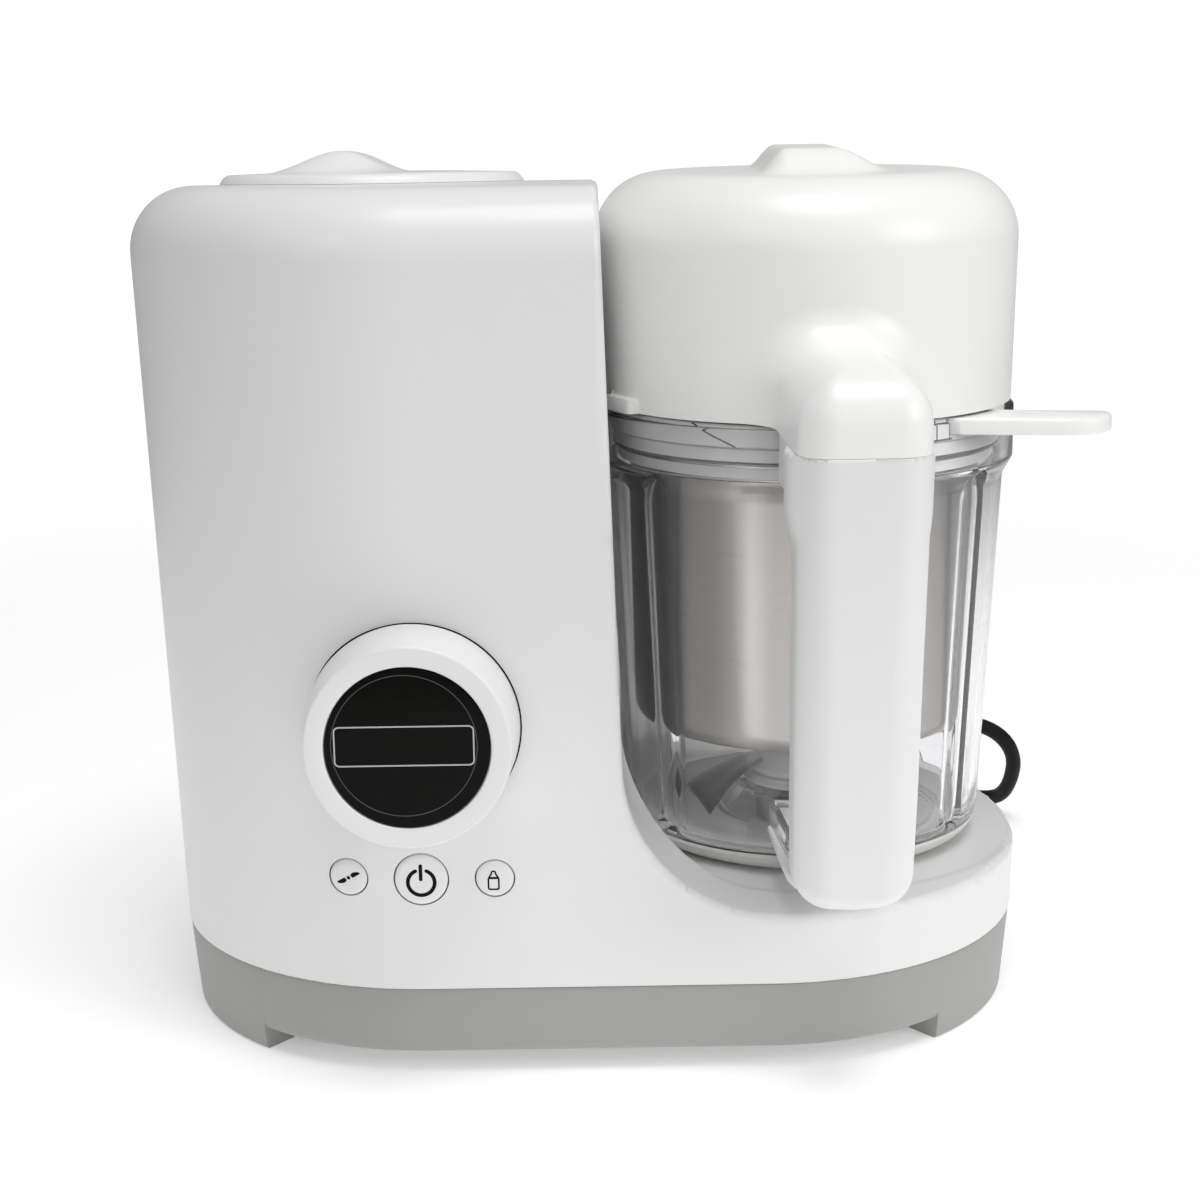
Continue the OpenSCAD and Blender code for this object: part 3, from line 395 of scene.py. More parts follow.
# Black for the printed signs on the buttons and for the painted shadow line round the knob
PRINT_AND_SHADOW_BLACK = moulded("print_and_shadow_black", grey(0.004), grey(0.006), 0.5, gloss=0.08)
MARK_GREY = moulded("print_grey", (0.48, 0.48, 0.47), (0.52, 0.52, 0.51), 0.4)
# Painted shade: dark grey for the shadow lines laid on the lift ring
PAINTED_SHADOW_GREY = moulded("painted_shadow_grey", grey(0.10), grey(0.13), 0.6)
MARK_DIM = moulded("print_dim", grey(0.045), grey(0.06), 0.4)


def paint_nodes():
    """Every carried-over CAD node takes the finish of its slot."""
    for row in frame["record"]["subparts"]:
        obj = nodes.get(row["node"])
        if obj is not None:
            obj.data.materials.clear()
            obj.data.materials.append(SLOTS[row["material_slot"]])


paint_nodes()
mains_cord.data.materials.append(SLOTS["cord_black"])


# Meshes
def mesh_of(name, points, faces, thick=0.0):
    """A mesh from points in millimetres and faces, merged, turned outwards and, where asked,
    thickened to the back."""
    mesh = bpy.data.meshes.new(name)
    mesh.from_pydata(placed(points).tolist(), [], faces)
    shaped = bmesh.new()
    shaped.from_mesh(mesh)
    bmesh.ops.remove_doubles(shaped, verts=shaped.verts, dist=1e-6)
    bmesh.ops.dissolve_degenerate(shaped, edges=shaped.edges, dist=1e-7)
    bmesh.ops.recalc_face_normals(shaped, faces=shaped.faces)
    if thick:
        made = bmesh.ops.extrude_face_region(shaped, geom=shaped.faces[:])
        moved = [v for v in made["geom"] if isinstance(v, bmesh.types.BMVert)]
        bmesh.ops.translate(shaped, verts=moved, vec=(0.0, thick * MM, 0.0))
        bmesh.ops.recalc_face_normals(shaped, faces=shaped.faces)
    shaped.to_mesh(mesh)
    shaped.free()
    return mesh


def own(name, mesh, body, replaced=None, slot="white_shell", material=None):
    """An object of the mesh, ridden on a body and standing for the CAD node it replaces."""
    mesh.materials.clear()
    mesh.materials.append(material or SLOTS[slot])
    obj = linked(name, mesh)
    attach(obj, body)
    if replaced:
        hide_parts(replaced)
    return obj


def piece(name, points, faces, body, replaced=None, slot="white_shell", material=None, angle=38.0):
    """A piece from points and faces, smooth where its faces turn by less than that angle."""
    mesh = mesh_of(name, points, faces)
    mesh.shade_smooth()
    mesh.set_sharp_from_angle(angle=radians(angle))
    own(name, mesh, body, replaced, slot, material)


def grid_faces(rows, columns, around=True, along=False):
    """Quads of a grid of points, closed round its columns and, where asked, along its rows."""
    i = np.arange(rows if along else rows - 1)[:, None] * columns
    j = np.arange(columns if around else columns - 1)
    i2, j2 = (i + columns) % (rows * columns), (j + 1) % columns
    return np.stack([i + j, i + j2, i2 + j2, i2 + j], axis=-1).reshape(-1, 4).tolist()


def lofted(layers, first=True):
    """Closed sections, each joined to the next, filled at the last and, where asked, the first."""
    layers = np.asarray(layers, float)
    rows, count = layers.shape[:2]
    faces = grid_faces(rows, count) + [list(range((rows - 1) * count, rows * count))]
    if first:
        faces.append(list(range(count))[::-1])
    return layers.reshape(-1, 3), faces


def joined(*parts):
    """Several (points, faces) pairs as one."""
    points, faces, start = [], [], 0
    for some_points, some_faces in parts:
        points.append(some_points)
        faces += [[v + start for v in face] for face in some_faces]
        start += len(some_points)
    return np.concatenate(points), faces


def unit(rows):
    """Rows scaled to a length of 1."""
    return rows / np.linalg.norm(rows, axis=-1, keepdims=True)


def sideways(ahead, width):
    """Half a width to the left of each direction in a plane."""
    return unit(np.c_[-ahead[:, 1], ahead[:, 0]]) * width / 2


def rounded_line(corners, steps=5):
    """A line of (a, b, radius) corners with each corner turned into an arc of that radius."""
    corners = np.asarray(corners, float)
    t = np.linspace(0, 1, steps)[:, None]
    out = []
    for before, corner, after in zip(np.roll(corners, 1, 0), corners, np.roll(corners, -1, 0)):
        here, radius = corner[:2], corner[2]
        if radius <= 0:
            out.append(here[None])
            continue
        u, v = unit(before[:2] - here), unit(after[:2] - here)
        half = acos(np.clip(u @ v, -1, 1)) / 2
        reach = radius / tan(half)
        middle = here + unit(u + v) * radius / sin(half)
        first, last = here + u * reach - middle, here + v * reach - middle
        out.append(middle + unit(first * (1 - t) + last * t) * radius)
    return np.concatenate(out)


def boxed_line(half, low, high, low_r, high_r, steps):
    """A box's outline, as wide to both sides, with its lower and its upper corners rounded."""
    corners = [(-half, low, low_r), (half, low, low_r), (half, high, high_r), (-half, high, high_r)]
    return rounded_line(corners, steps)


def turned(line, count, closed=True, centre=JUG_AXIS):
    """A line of (radius, height) points carried round a vertical axis."""
    line = np.asarray(line, float)
    points = round_axis(line[:, :1], line[:, 1:], once_round(count), centre)
    return points.reshape(-1, 3), grid_faces(len(line), count, True, closed)


def to_front(shape, x, z):
    """A shape about a vertical axis turned to face the front, about the axis at x and z."""
    points, faces = shape
    return np.c_[points[:, 0] + x, points[:, 2], z - points[:, 1]], faces


# Solids given by a field that is negative inside, made into a skin
def either(a, b, radius):
    """Both solids, with a fillet of that radius where they meet."""
    near = np.hypot(np.maximum(radius - a, 0), np.maximum(radius - b, 0))
    return np.maximum(radius, np.minimum(a, b)) - near


def both(a, b, radius):
    """What two solids share, with its edge rounded to that radius."""
    return -either(-a, -b, radius)


def rectangle(x, y, half_x, half_y, radius):
    """Distance from a rectangle with rounded corners."""
    qx, qy = np.abs(x) - half_x + radius, np.abs(y) - half_y + radius
    beyond = np.hypot(np.maximum(qx, 0), np.maximum(qy, 0))
    return beyond + np.minimum(np.maximum(qx, qy), 0) - radius


def slope(field, points, step=0.05):
    """Value of the field and its slope at points."""
    shift = step * np.eye(3)
    along = [(field(*(points + s).T) - field(*(points - s).T)) / (2 * step) for s in shift]
    return field(*points.T), np.stack(along, axis=-1)


def skin(field, low, high, step):
    """Surface where the field is zero: one point in each lattice cell that it crosses, carried
    onto it along the slope, and a quad round each lattice edge that it crosses."""
    low, high = np.asarray(low, float), np.asarray(high, float)
    count = np.ceil((high - low) / step).astype(int) + 1
    lattice = np.meshgrid(*(low[i] + step * np.arange(count[i]) for i in range(3)), indexing="ij")
    inside = field(*lattice) < 0
    cells = count - 1
    corners = sum(inside[a:a + cells[0], b:b + cells[1], c:c + cells[2]].astype(np.int8)
                  for a in (0, 1) for b in (0, 1) for c in (0, 1))
    crossed = (corners > 0) & (corners < 8)
    index = np.full(crossed.shape, -1)
    index[crossed] = np.arange(crossed.sum())
    middle = low + step * (np.argwhere(crossed) + 0.5)
    points = middle
    for _ in range(6):
        value, rise = slope(field, points)
        points = points - (value / np.maximum((rise ** 2).sum(1), 0.05))[:, None] * rise
        points = middle + np.clip(points - middle, -0.7 * step, 0.7 * step)
    quads = []
    for axis in range(3):
        order = (axis, (axis + 1) % 3, (axis + 2) % 3)
        state, cell = inside.transpose(order), index.transpose(order)
        change = state[:-1] != state[1:]
        a, b, c = np.nonzero(change[:, 1:-1, 1:-1])
        b2, c2 = b + 1, c + 1
        ring = np.c_[cell[a, b, c], cell[a, b2, c], cell[a, b2, c2], cell[a, b, c2]]
        outward = state[:-1][a, b2, c2]
        quads.append(np.where(outward[:, None], ring, ring[:, ::-1]))
    quads = np.concatenate(quads)
    return points, quads[(quads >= 0).all(axis=1)]


def walled(points, quads, field, wall):
    """An open skin given a wall on its inner side, with a rim round its opening."""
    _, rise = slope(field, points)
    inner = points - wall * unit(rise)
    count = len(points)
    edges = np.concatenate([quads[:, [k, (k + 1) % 4]] for k in range(4)])
    key = np.sort(edges, axis=1) @ np.array([count, 1])
    _, where, times = np.unique(key, return_index=True, return_counts=True)
    rim = edges[where[times == 1]]
    sides = np.c_[rim[:, ::-1], rim + count]
    return np.r_[points, inner], np.r_[quads, quads[:, ::-1] + count, sides]


def values(items, key, width=1, kind=float):
    """One value of every item of a mesh, or a row of that width, as an array."""
    out = np.empty(len(items) * width, kind)
    items.foreach_get(key, out)
    return out.reshape(-1, width) if width > 1 else out


def even_normals(mesh, field, share=0.55):
    """Corner normals from the field's slope where a face lies along it, else the face's own."""
    _, rise = slope(field, (values(mesh.vertices, "co", 3) - SHIFT) / MM)
    rise /= np.maximum(np.linalg.norm(rise, axis=1), 1e-9)[:, None]
    rise = rise[values(mesh.loops, "vertex_index", 1, np.int32)]
    sizes = values(mesh.polygons, "loop_total", 1, np.int32)
    flat = np.repeat(values(mesh.polygons, "normal", 3), sizes, axis=0)
    turn = (rise * flat).sum(1)
    along = np.abs(turn) > share
    normals = np.where(along[:, None], rise * np.sign(turn)[:, None], flat)
    mesh.shade_smooth()
    mesh.normals_split_custom_set(normals.tolist())


def skinned(name, points, quads, field, body, replaced, cutters=(), material=None):
    """A mesh of a field's skin, with holes cut and its normals taken from the field's slope."""
    mesh = bpy.data.meshes.new(name)
    mesh.from_pydata(placed(points).tolist(), [], quads.tolist())
    obj = own(name, mesh, body, replaced, material=material)
    if cutters:
        tool = linked("cutter", mesh_of("cutter", *joined(*cutters)))
        cut = obj.modifiers.new("holes", "BOOLEAN")
        cut.object, cut.operation, cut.solver = tool, "DIFFERENCE", "EXACT"
        graph = bpy.context.evaluated_depsgraph_get()
        made = bpy.data.meshes.new_from_object(obj.evaluated_get(graph))
        obj.modifiers.clear()
        obj.data = made
        bpy.data.objects.remove(tool)
        made.materials.clear()
        made.materials.append(mesh.materials[0])
    even_normals(obj.data, field)


def plug_of(radius, low, high, centre=ORIGIN, count=96):
    """A closed cylinder about a vertical axis, as a cutter."""
    return lofted(round_axis(radius, [[low], [high]], once_round(count), centre))


# Housing
TOP_ROUND, TOP_FALL, FALL_FROM, FALL_ROUND = 18.0, 0.040, -40.0, 15.0
TOWER_RIGHT, BAY_ROUND, HOUSING_WALL = 2.2, 40.0, 2.4
SCOOP_R, SCOOP_FOOT = LID_MAX_R + 3.4, 3.0
TANK_HOLE_R, DRIVE_HOLE_R, BUTTON_GAP = 36.6, 11.0, 0.28
# Each button's place across from the knob's axis, and its radius
BUTTONS = {"power_button": (0.6, 7.0), "pulse_button": (-18.6, 5.0), "bottle_button": (19.8, 5.0)}
BUTTON_RISE = 0.5


def top_fall(y):
    """How far the tower's top has dropped at a depth: level in front, a steady slope behind."""
    behind = y - FALL_FROM
    return TOP_FALL * (np.hypot(behind, FALL_ROUND) + behind) / 2


def wall_radius(z):
    """Radius of the plan's corners at a height: the walls lean outwards going up."""
    return CORNER_R + LEAN * (z - SEAM_Z)


def housing_field(x, y, z):
    """Leaning walls with a rounded top that falls to the back, less the bay: a sweep from tower
    to deck and a round scoop beside the jug, with a small round along every edge."""
    radius = wall_radius(z)
    walls = rectangle(x, y, CORNER_X + radius, CORNER_Y + radius, radius)
    body = both(walls, z - TOWER_TOP + top_fall(y), TOP_ROUND)
    tower = x - (TOWER_RIGHT + LEAN * (TOWER_TOP - z))
    deck = z - DECK_Z
    sweep = either(tower, deck, BAY_ROUND)
    scoop = either(SCOOP_R - np.hypot(x - JUG_X, y), deck, SCOOP_FOOT)
    return both(body, both(sweep, scoop, 2.0), 1.7)


def front_of(x, z):
    """Front of the housing, where its plan may already curve away."""
    side = np.maximum(np.abs(x) - CORNER_X, 0.0)
    return -CORNER_Y - np.sqrt(wall_radius(z) ** 2 - side ** 2)


def make_housing(step=2.0):
    """The field's skin with a wall, and holes for the buttons, the tank and the drive."""
    low, high = (-132.3, -90.3, SEAM_Z - step / 2), (128, 91, TOWER_TOP + 3)
    points, quads = walled(*skin(housing_field, low, high, step), housing_field, HOUSING_WALL)
    holes = [to_front(plug_of(radius + BUTTON_GAP, -100.0, -70.0), CONTROL_X + across, BUTTON_Z)
             for across, radius in BUTTONS.values()]
    holes += [plug_of(TANK_HOLE_R, TOWER_TOP - 12, TOWER_TOP + 10, (TANK_X, 0.0)),
              plug_of(DRIVE_HOLE_R, DECK_Z - 8, DECK_Z + 8, JUG_AXIS)]
    skinned("housing_shell", points, quads, housing_field, "base", "housing", holes)


make_housing()

# Bottom cover
UNDER_Z, TRAY_TAPER, SKIRT_DEPTH, SKIRT_END = 5.5, 2.3, 10.0, radians(50.4)


def plan_line(quarter):
    """The plan's outline as corner centres and outward directions, from one quarter's angles."""
    back = quarter[::-1]
    angle = np.r_[quarter, pi - back, pi + quarter, 2 * pi - back]
    signs = np.repeat([(1, 1), (-1, 1), (-1, -1), (1, -1)], len(quarter), axis=0)
    return signs * [CORNER_X, CORNER_Y], np.c_[np.cos(angle), np.sin(angle)]


def make_bottom_cover():
    """The plan carried down a tapered wall with a rounded lower edge; at both ends the edge
    steps down into a foot skirt."""
    step = [SKIRT_END - 2e-4, SKIRT_END + 2e-4]
    centre, out = plan_line(np.sort(np.r_[np.linspace(0, pi / 2, 49), step]))
    skirt = np.abs(out[:, 0]) > cos(SKIRT_END)
    low, round_r = np.where(skirt, 0.0, UNDER_Z), np.where(skirt, 1.2, 3.5)
    lip = [(3.2, 2.0), (3.2, 0.15), (0.9, 0.15), (0.45, 0.35), (0.25, 0.9)]
    rows = [(CORNER_R - inset, SEAM_Z - drop) for inset, drop in lip]
    wall = CORNER_R - TRAY_TAPER * (1 - (low + round_r) / SEAM_Z)
    rows += [(wall - round_r * (1 - cos(b)), low + round_r * (1 - sin(b)))
             for b in np.linspace(0, pi / 2, 7)]
    deep = CORNER_R - TRAY_TAPER - SKIRT_DEPTH
    rows += [(deep, low), (deep - 0.4, UNDER_Z), (CORNER_R - 40, UNDER_Z)]
    whole = np.ones_like(low)
    layers = [np.c_[centre + out * (radius * whole)[:, None], height * whole]
              for radius, height in rows]
    piece("bottom_tray", *lofted(layers, first=False), "base", "bottom_cover", "grey_base",
          angle=30.0)


make_bottom_cover()


# Tank lid
def make_tank_lid():
    """A shallow dome whose height also carries a finger hump, steeper on its right side."""
    low, edge, round_r, count = TOWER_TOP + 0.05, 42.0, 3.2, 144
    angle = once_round(count)
    ring = np.r_[0.0, np.linspace(1.5, edge - round_r, 34)][:, None]
    x, y = spun(ring, 0.0, angle)
    hump = eased((x + 28.0) / 21.0) * eased((10.5 - x) / 17.0) * eased((27.0 - np.abs(y)) / 12.0)
    top = low + 3.3 - 0.8 * (ring / edge) ** 2 + 5.45 * hump
    bend = np.sin(np.linspace(0, 1, 9)[1:, None] * pi / 2)
    rim_r, drop = edge - round_r + round_r * bend, low + 2.62 - 2.5 * bend ** 2.5
    under = np.array([
        (edge - 0.1, 0), (33.7, 0), (33.7, -6.6), (33.3, -7), (32.1, -7), (31.7, -6.6), (31.7, 0),
        (0, 0)])
    points = np.r_[round_axis(ring, top, angle), round_axis(rim_r, drop, angle),
                   round_axis(under[:, :1], low + under[:, 1:], angle)]
    points[..., 0] += TANK_X
    points[..., 2] -= top_fall(points[..., 1])
    piece("tank_cap", points.reshape(-1, 3), grid_faces(len(points), count), "tank_lid",
          "tank_lid")


make_tank_lid()

# Controls
KNOB_IN_R, KNOB_FRONT_R, KNOB_BACK_R, GLASS_R = 20.8, 26.0, 27.4, 20.6
GLASS_Y = node_box("display_window")[0][1]
CAP_BACK_Y, CAP_CURVED = 7.0, 1.0


def make_controls():
    """Knob, display and buttons: lines turned about axes that face the front. A cap's front
    follows the curve of the housing, its back is flat."""
    low, high = node_box("control_knob")
    front, back = low[1], high[1]
    knob = rounded_line([
        (KNOB_IN_R, back, 0.4), (KNOB_IN_R, front, 0.5), (KNOB_FRONT_R, front, 0.8),
        (KNOB_BACK_R, back, 0.5)])
    piece("knob_ring", *to_front(turned(knob, 160, True, ORIGIN), CONTROL_X, KNOB_Z),
          "control_knob", "control_knob")
    glass = [0, GLASS_Y] + np.array([
        (0, 0), (GLASS_R - 0.6, 0), (GLASS_R - 0.1, 0.1), (GLASS_R, 0.4), (GLASS_R, 1.0), (0, 1.0)])
    piece("display_glass", *to_front(turned(glass, 128, False, ORIGIN), CONTROL_X, KNOB_Z),
          "base", "display_window", "display_black")
    for name, (across, radius) in BUTTONS.items():
        x = CONTROL_X + across
        level = front_of(x, BUTTON_Z)
        back = node_box(name)[1][1] - level - 1.0
        edge = [(radius * 0.5, 0), (radius - 1.3, 0), (radius - 0.7, 0.12), (radius - 0.2, 0.4),
                (radius, 1.0)]
        cap = [(0, -BUTTON_RISE), *((r, depth - BUTTON_RISE) for r, depth in edge),
               (radius, CAP_BACK_Y), (radius - 2, CAP_BACK_Y), (radius - 2, back), (0, back)]
        points, faces = to_front(turned(cap, 96, False, ORIGIN), x, BUTTON_Z)
        curved = front_of(points[:, 0], points[:, 2])
        points[:, 1] += np.where(points[:, 1] < CAP_CURVED, curved, level)
        piece(name.replace("button", "cap"), points, faces, name, name)


make_controls()

# Printed marks
PRINT_OUT, PRINT_THICK = 0.04, 0.06


def strip(path, width, closed=False):
    """A flat line of that width along a path of x and z: two edges and the quads between them."""
    path = np.asarray(path, float)
    ahead = np.roll(path, -1, 0) - np.roll(path, 1, 0)
    if not closed:
        ahead[0], ahead[-1] = path[1] - path[0], path[-1] - path[-2]
    side = sideways(ahead, width)
    points = np.stack([path + side, path - side], axis=1).reshape(-1, 2)
    return points, grid_faces(len(path), 2, False, closed)


def filled(outline):
    """A flat patch inside an outline of x and z."""
    return np.asarray(outline, float), [list(range(len(outline)))]


def arc(radius, start, end, count):
    """Points of x and z on a circle about 0, from one angle to another."""
    angle = np.radians(np.linspace(start, end, count))
    return radius * np.c_[np.cos(angle), np.sin(angle)]


def printed(name, shapes, centre, front, body, material):
    """Flat shapes about a centre, laid a hair thick on a front that gives its y from x and z."""
    flat, faces = joined(*shapes)
    x, z = (flat + centre).T
    mesh = mesh_of(name, np.c_[x, front(x, z) - PRINT_OUT, z], faces, PRINT_THICK)
    own(name, mesh, body, None, "display_black", material)


def glass_front(x, z):
    """Front of the display's glass, which is flat."""
    return np.full_like(x, GLASS_Y)


def cap_front(x, z):
    """Front of a button's cap, which stands out from the housing."""
    return front_of(x, z) - BUTTON_RISE


def sign(button, shapes, aside=0.0):
    """A black sign on a button's cap."""
    centre = (CONTROL_X + BUTTONS[button][0] + aside, BUTTON_Z)
    printed(button.replace("button", "sign"), shapes, centre, cap_front, button, PRINT_AND_SHADOW_BLACK)


def make_marks():
    """The display's frame and circle, a painted shadow line in the gap round the knob and a plain
    sign on each button.
    """
    middle = (CONTROL_X - 0.75, KNOB_Z + 0.6)
    window = strip(boxed_line(17.25, -5.0, 5.0, 1.2, 1.2, 7), 0.36, True)
    printed("display_frame", [window], middle, glass_front, "base", MARK_GREY)
    circle = strip(arc(18.1, 0, 357, 120), 0.22, True)
    printed("display_circle", [circle], middle, glass_front, "base", MARK_DIM)
    # Painted shadow: a black ring on the housing where the gap behind the knob lies in shade
    knob_gap_shadow = strip(arc(27.45, 0, 357, 120), 0.4, True)
    printed("knob_gap_shadow_line", [knob_gap_shadow], (CONTROL_X + 0.15, KNOB_Z - 0.3), front_of, "base", PRINT_AND_SHADOW_BLACK)
    ring, stem = arc(3.5, 114, 426, 48) - [0, 0.7], np.array([[-0.1, 0.2], [-0.1, 3.9]])
    ends = [filled(end + arc(0.48, 0, 345, 16)) for end in (*ring[[0, -1]], *stem)]
    sign("power_button", [strip(ring, 1.0), strip(stem, 0.95), *ends])
    wing = np.array([
        (-2.75, -0.98), (-1.0, -0.02), (-0.42, -0.5), (-0.7, -0.95), (-1.15, -1.2), (-1.7, -1.32),
        (-2.3, -1.34), (-2.75, -1.14)]) * (1.12, 1.3)
    sign("pulse_button", [filled(wing), filled(-wing), filled(arc(0.5, 0, 340, 18))])
    body = boxed_line(1.35, -2.85, 0.2, 0.4, 0.2, 5)
    neck = rounded_line([
        (-1.25, 0.35, 0.1), (1.25, 0.35, 0.1), (0.6, 1.35, 0.3), (0.45, 2.15, 0.4),
        (-0.45, 2.15, 0.4), (-0.6, 1.35, 0.3)], 5)
    sign("bottle_button", [strip(body, 0.44, True), strip(neck, 0.44, True)], -0.35)


make_marks()


# Jug
def handle_place(x, y, z):
    """Places across and along the leaning handle, which is turned a little about the jug axis."""
    across, along = spun(x, y, -HANDLE_ANGLE)
    return across - HANDLE_SHIFT - HANDLE_LEAN * (z - HANDLE_Z), along


def arm_shape(sections, wall_r, aside=0.0):
    """Outlines of (across, height) points carried forward, each at its place along the handle and
    the first at the jug's wall, then turned about the jug axis with the handle."""
    layers = []
    for along, line in sections:
        if along is None:
            along = -np.sqrt(wall_r ** 2 - line[:, 0] ** 2)
        layers.append(np.c_[line[:, 0] + aside, along * np.ones(len(line)), line[:, 1]])
    points, faces = lofted(layers)
    x, y = spun(*points[:, :2].T, HANDLE_ANGLE)
    return np.c_[JUG_X + x, y, points[:, 2]], faces


JUG_LOW_R, JUG_HIGH_R, JUG_WALL = 51.5, 56.2, 2.6
JUG_STEP, JUG_FLOOR, WALL_FOOT = COLLAR_Z - 5, JUG_FOOT + 5.0, JUG_FOOT + 12
FOOT_R, HUB_Z, BAND_Z = 40.0, JUG_FOOT + 12.5, JUG_FOOT + 5.4
FLUTE_ANGLES = np.radians([-140.0, -40.0, 40.0, 140.0])
FLUTE_TOP, FLUTE_ARCH = COLLAR_Z - 0.4, 10.0
FLUTE_REACH, FLUTE_HALF, FLUTE_DIP, FLUTE_BULGE = 52.0, 5.6, 1.5, 0.7
NOTCH, NOTCH_DROP = np.radians([-47.5, -9.0]), 4.0
LUG_HALF, LUG_LOW, LUG_HIGH = 15.2, 59.2, 66.5


def arched(z):
    """Share of a flute's width at a height: full below, closing to its top as an ellipse."""
    return np.sqrt(1 - np.clip((z - FLUTE_TOP + FLUTE_ARCH) / FLUTE_ARCH, 0, 1) ** 2)


def swell(across, half):
    """A bell that falls from 1 to 0 as a cosine over a half width."""
    return 0.5 + 0.5 * np.cos(pi * np.clip(across / np.maximum(half, 1e-6), 0, 1))


def jug_lines():
    """The jug's line as its parts: foot, outer wall, rim, inner wall and floor."""
    low_in, high_in = JUG_LOW_R - JUG_WALL, JUG_HIGH_R - JUG_WALL
    collar_in, ledge = COLLAR_R - JUG_WALL + 0.1, COLLAR_Z + 0.4
    foot = rounded_line([
        (FOOT_R, JUG_FOOT, 0), (JUG_LOW_R - 0.4, JUG_FOOT, 7.6),
        (JUG_LOW_R, JUG_FOOT + 40, 0)], 8)[:-1]
    wall = rounded_line([
        (JUG_LOW_R, WALL_FOOT, 0), (JUG_HIGH_R, JUG_STEP, 4), (COLLAR_R, COLLAR_Z, 1.6),
        (COLLAR_R, COLLAR_TOP - 2, 0)], 8)
    wall_z = np.r_[np.linspace(foot[-1, 1] + 1, JUG_STEP - 10, 16),
                   np.linspace(JUG_STEP - 9, COLLAR_Z + 3, 40)]
    rim = rounded_line([
        (COLLAR_R, COLLAR_Z + 4, 0), (COLLAR_R, COLLAR_TOP, 0.8), (collar_in, COLLAR_TOP, 0.6),
        (collar_in, ledge, 0.3), (high_in, ledge, 0.8), (high_in, ledge - 1, 0)], 6)
    inner_z = np.r_[np.linspace(ledge - 1.4, JUG_STEP - 8, 30),
                    np.linspace(JUG_STEP - 12, JUG_FLOOR + 6, 20)]
    inner_r = np.interp(inner_z, [JUG_FLOOR, JUG_STEP], [low_in, high_in])
    floor = rounded_line([
        (low_in, JUG_FLOOR + 6, 0), (low_in, JUG_FLOOR, 5), (24.5, JUG_FLOOR, 3),
        (18.5, HUB_Z, 2), (6.0, HUB_Z, 0), (6.0, HUB_Z - 3, 0), (15.5, HUB_Z - 3, 1.5),
        (21.5, JUG_FLOOR - 3, 3), (FOOT_R - 1.4, JUG_FLOOR - 3, 1.0),
        (FOOT_R, JUG_FOOT + 0.6, 0)], 6)[1:]
    outer = np.c_[np.interp(wall_z, wall[:, 1], wall[:, 0]), wall_z]
    return foot, outer, rim, np.c_[inner_r, inner_z], floor


def make_jug():
    """A line carried round the jug's axis; along four round flutes its outer wall dips in and its
    inner wall bulges in, and its collar is cut down where the lift tab passes."""
    foot, outer, rim, inner, floor = jug_lines()
    whole = np.r_[foot, outer, rim, inner, floor]
    spread = np.radians(np.linspace(-7.5, 7.5, 31))
    angle = np.r_[np.linspace(-pi, pi, 240, endpoint=False), NOTCH - 1e-4, NOTCH + 1e-4,
                  (FLUTE_ANGLES[:, None] + spread).ravel()]
    angle = np.unique(np.round(angle, 5))
    radius = np.repeat(whole[:, :1], len(angle), axis=1)
    off = np.abs((angle[:, None] - FLUTE_ANGLES + pi) % (2 * pi) - pi).min(axis=1)
    across = FLUTE_REACH * np.sin(np.minimum(off, 0.3))
    half = FLUTE_HALF * arched(whole[:, 1:])
    outside = slice(len(foot), len(foot) + len(outer))
    straight = np.interp(outer[:, 1:], [WALL_FOOT, COLLAR_Z], [JUG_LOW_R, JUG_HIGH_R + 0.25])
    dip = swell(across, half[outside])
    dipped = np.minimum(radius[outside], straight - FLUTE_DIP * dip)
    radius[outside] = np.where(dip > 0, dipped, radius[outside])
    inside = slice(len(foot) + len(outer) + len(rim), len(whole) - len(floor) + 5)
    radius[inside] -= FLUTE_BULGE * swell(across, half[inside])
    in_notch = (angle > NOTCH[0]) & (angle < NOTCH[1])
    height = np.where(in_notch, np.minimum(whole[:, 1:], COLLAR_TOP - NOTCH_DROP), whole[:, 1:])
    points = round_axis(radius, height, angle, JUG_AXIS).reshape(-1, 3)
    body = (points, grid_faces(len(whole), len(angle), True, True))
    section = boxed_line(LUG_HALF, LUG_LOW, LUG_HIGH, 0.6, 1.6, 6)
    lug = arm_shape([(along, section * [narrow, 1.0]) for along, narrow in
                     ((None, 1.0), (-70.0, 0.94), (-92.0, 0.86))], 51.6)
    piece("jug_shell", *joined(body, lug), "jug", "jug", "clear_jug")
    # Painted refracted light: a pale ring inside the clear foot stands for the lit deck seen
    # through it
    edge = foot[foot[:, 1] < BAND_Z][1:]
    foot_band_painted_light = np.r_[edge + [0.1, -0.1], (edge + [-0.7, 0.7])[::-1]]
    piece("foot_band_painted_light", *turned(foot_band_painted_light, 160), "jug", None, "inner_plastic")


make_jug()

# Handle
GRIP_Z, GRIP_HALF = [50, 65, 84, 117, 158, 171], [14.9, 15.1, 15.5, 15.8, 16.35, 16.5]
GRIP_DEPTH, GRIP_FOOT, ARM_Z, GRIP_ROUND = 12.0, 56.0, 163.5, 9.0
SHELF_TOP = 59.15
# The shelf's sections: place along the handle, half width and lower edge
SHELF = ((None, 15.0, 57.4), (-66.0, 14.9, 57.0), (-78.0, 14.6, 56.6), (-86.0, 14.3, 56.3),
         (-92.0, 13.2, 56.6), (-98.0, 10.0, 58.0))


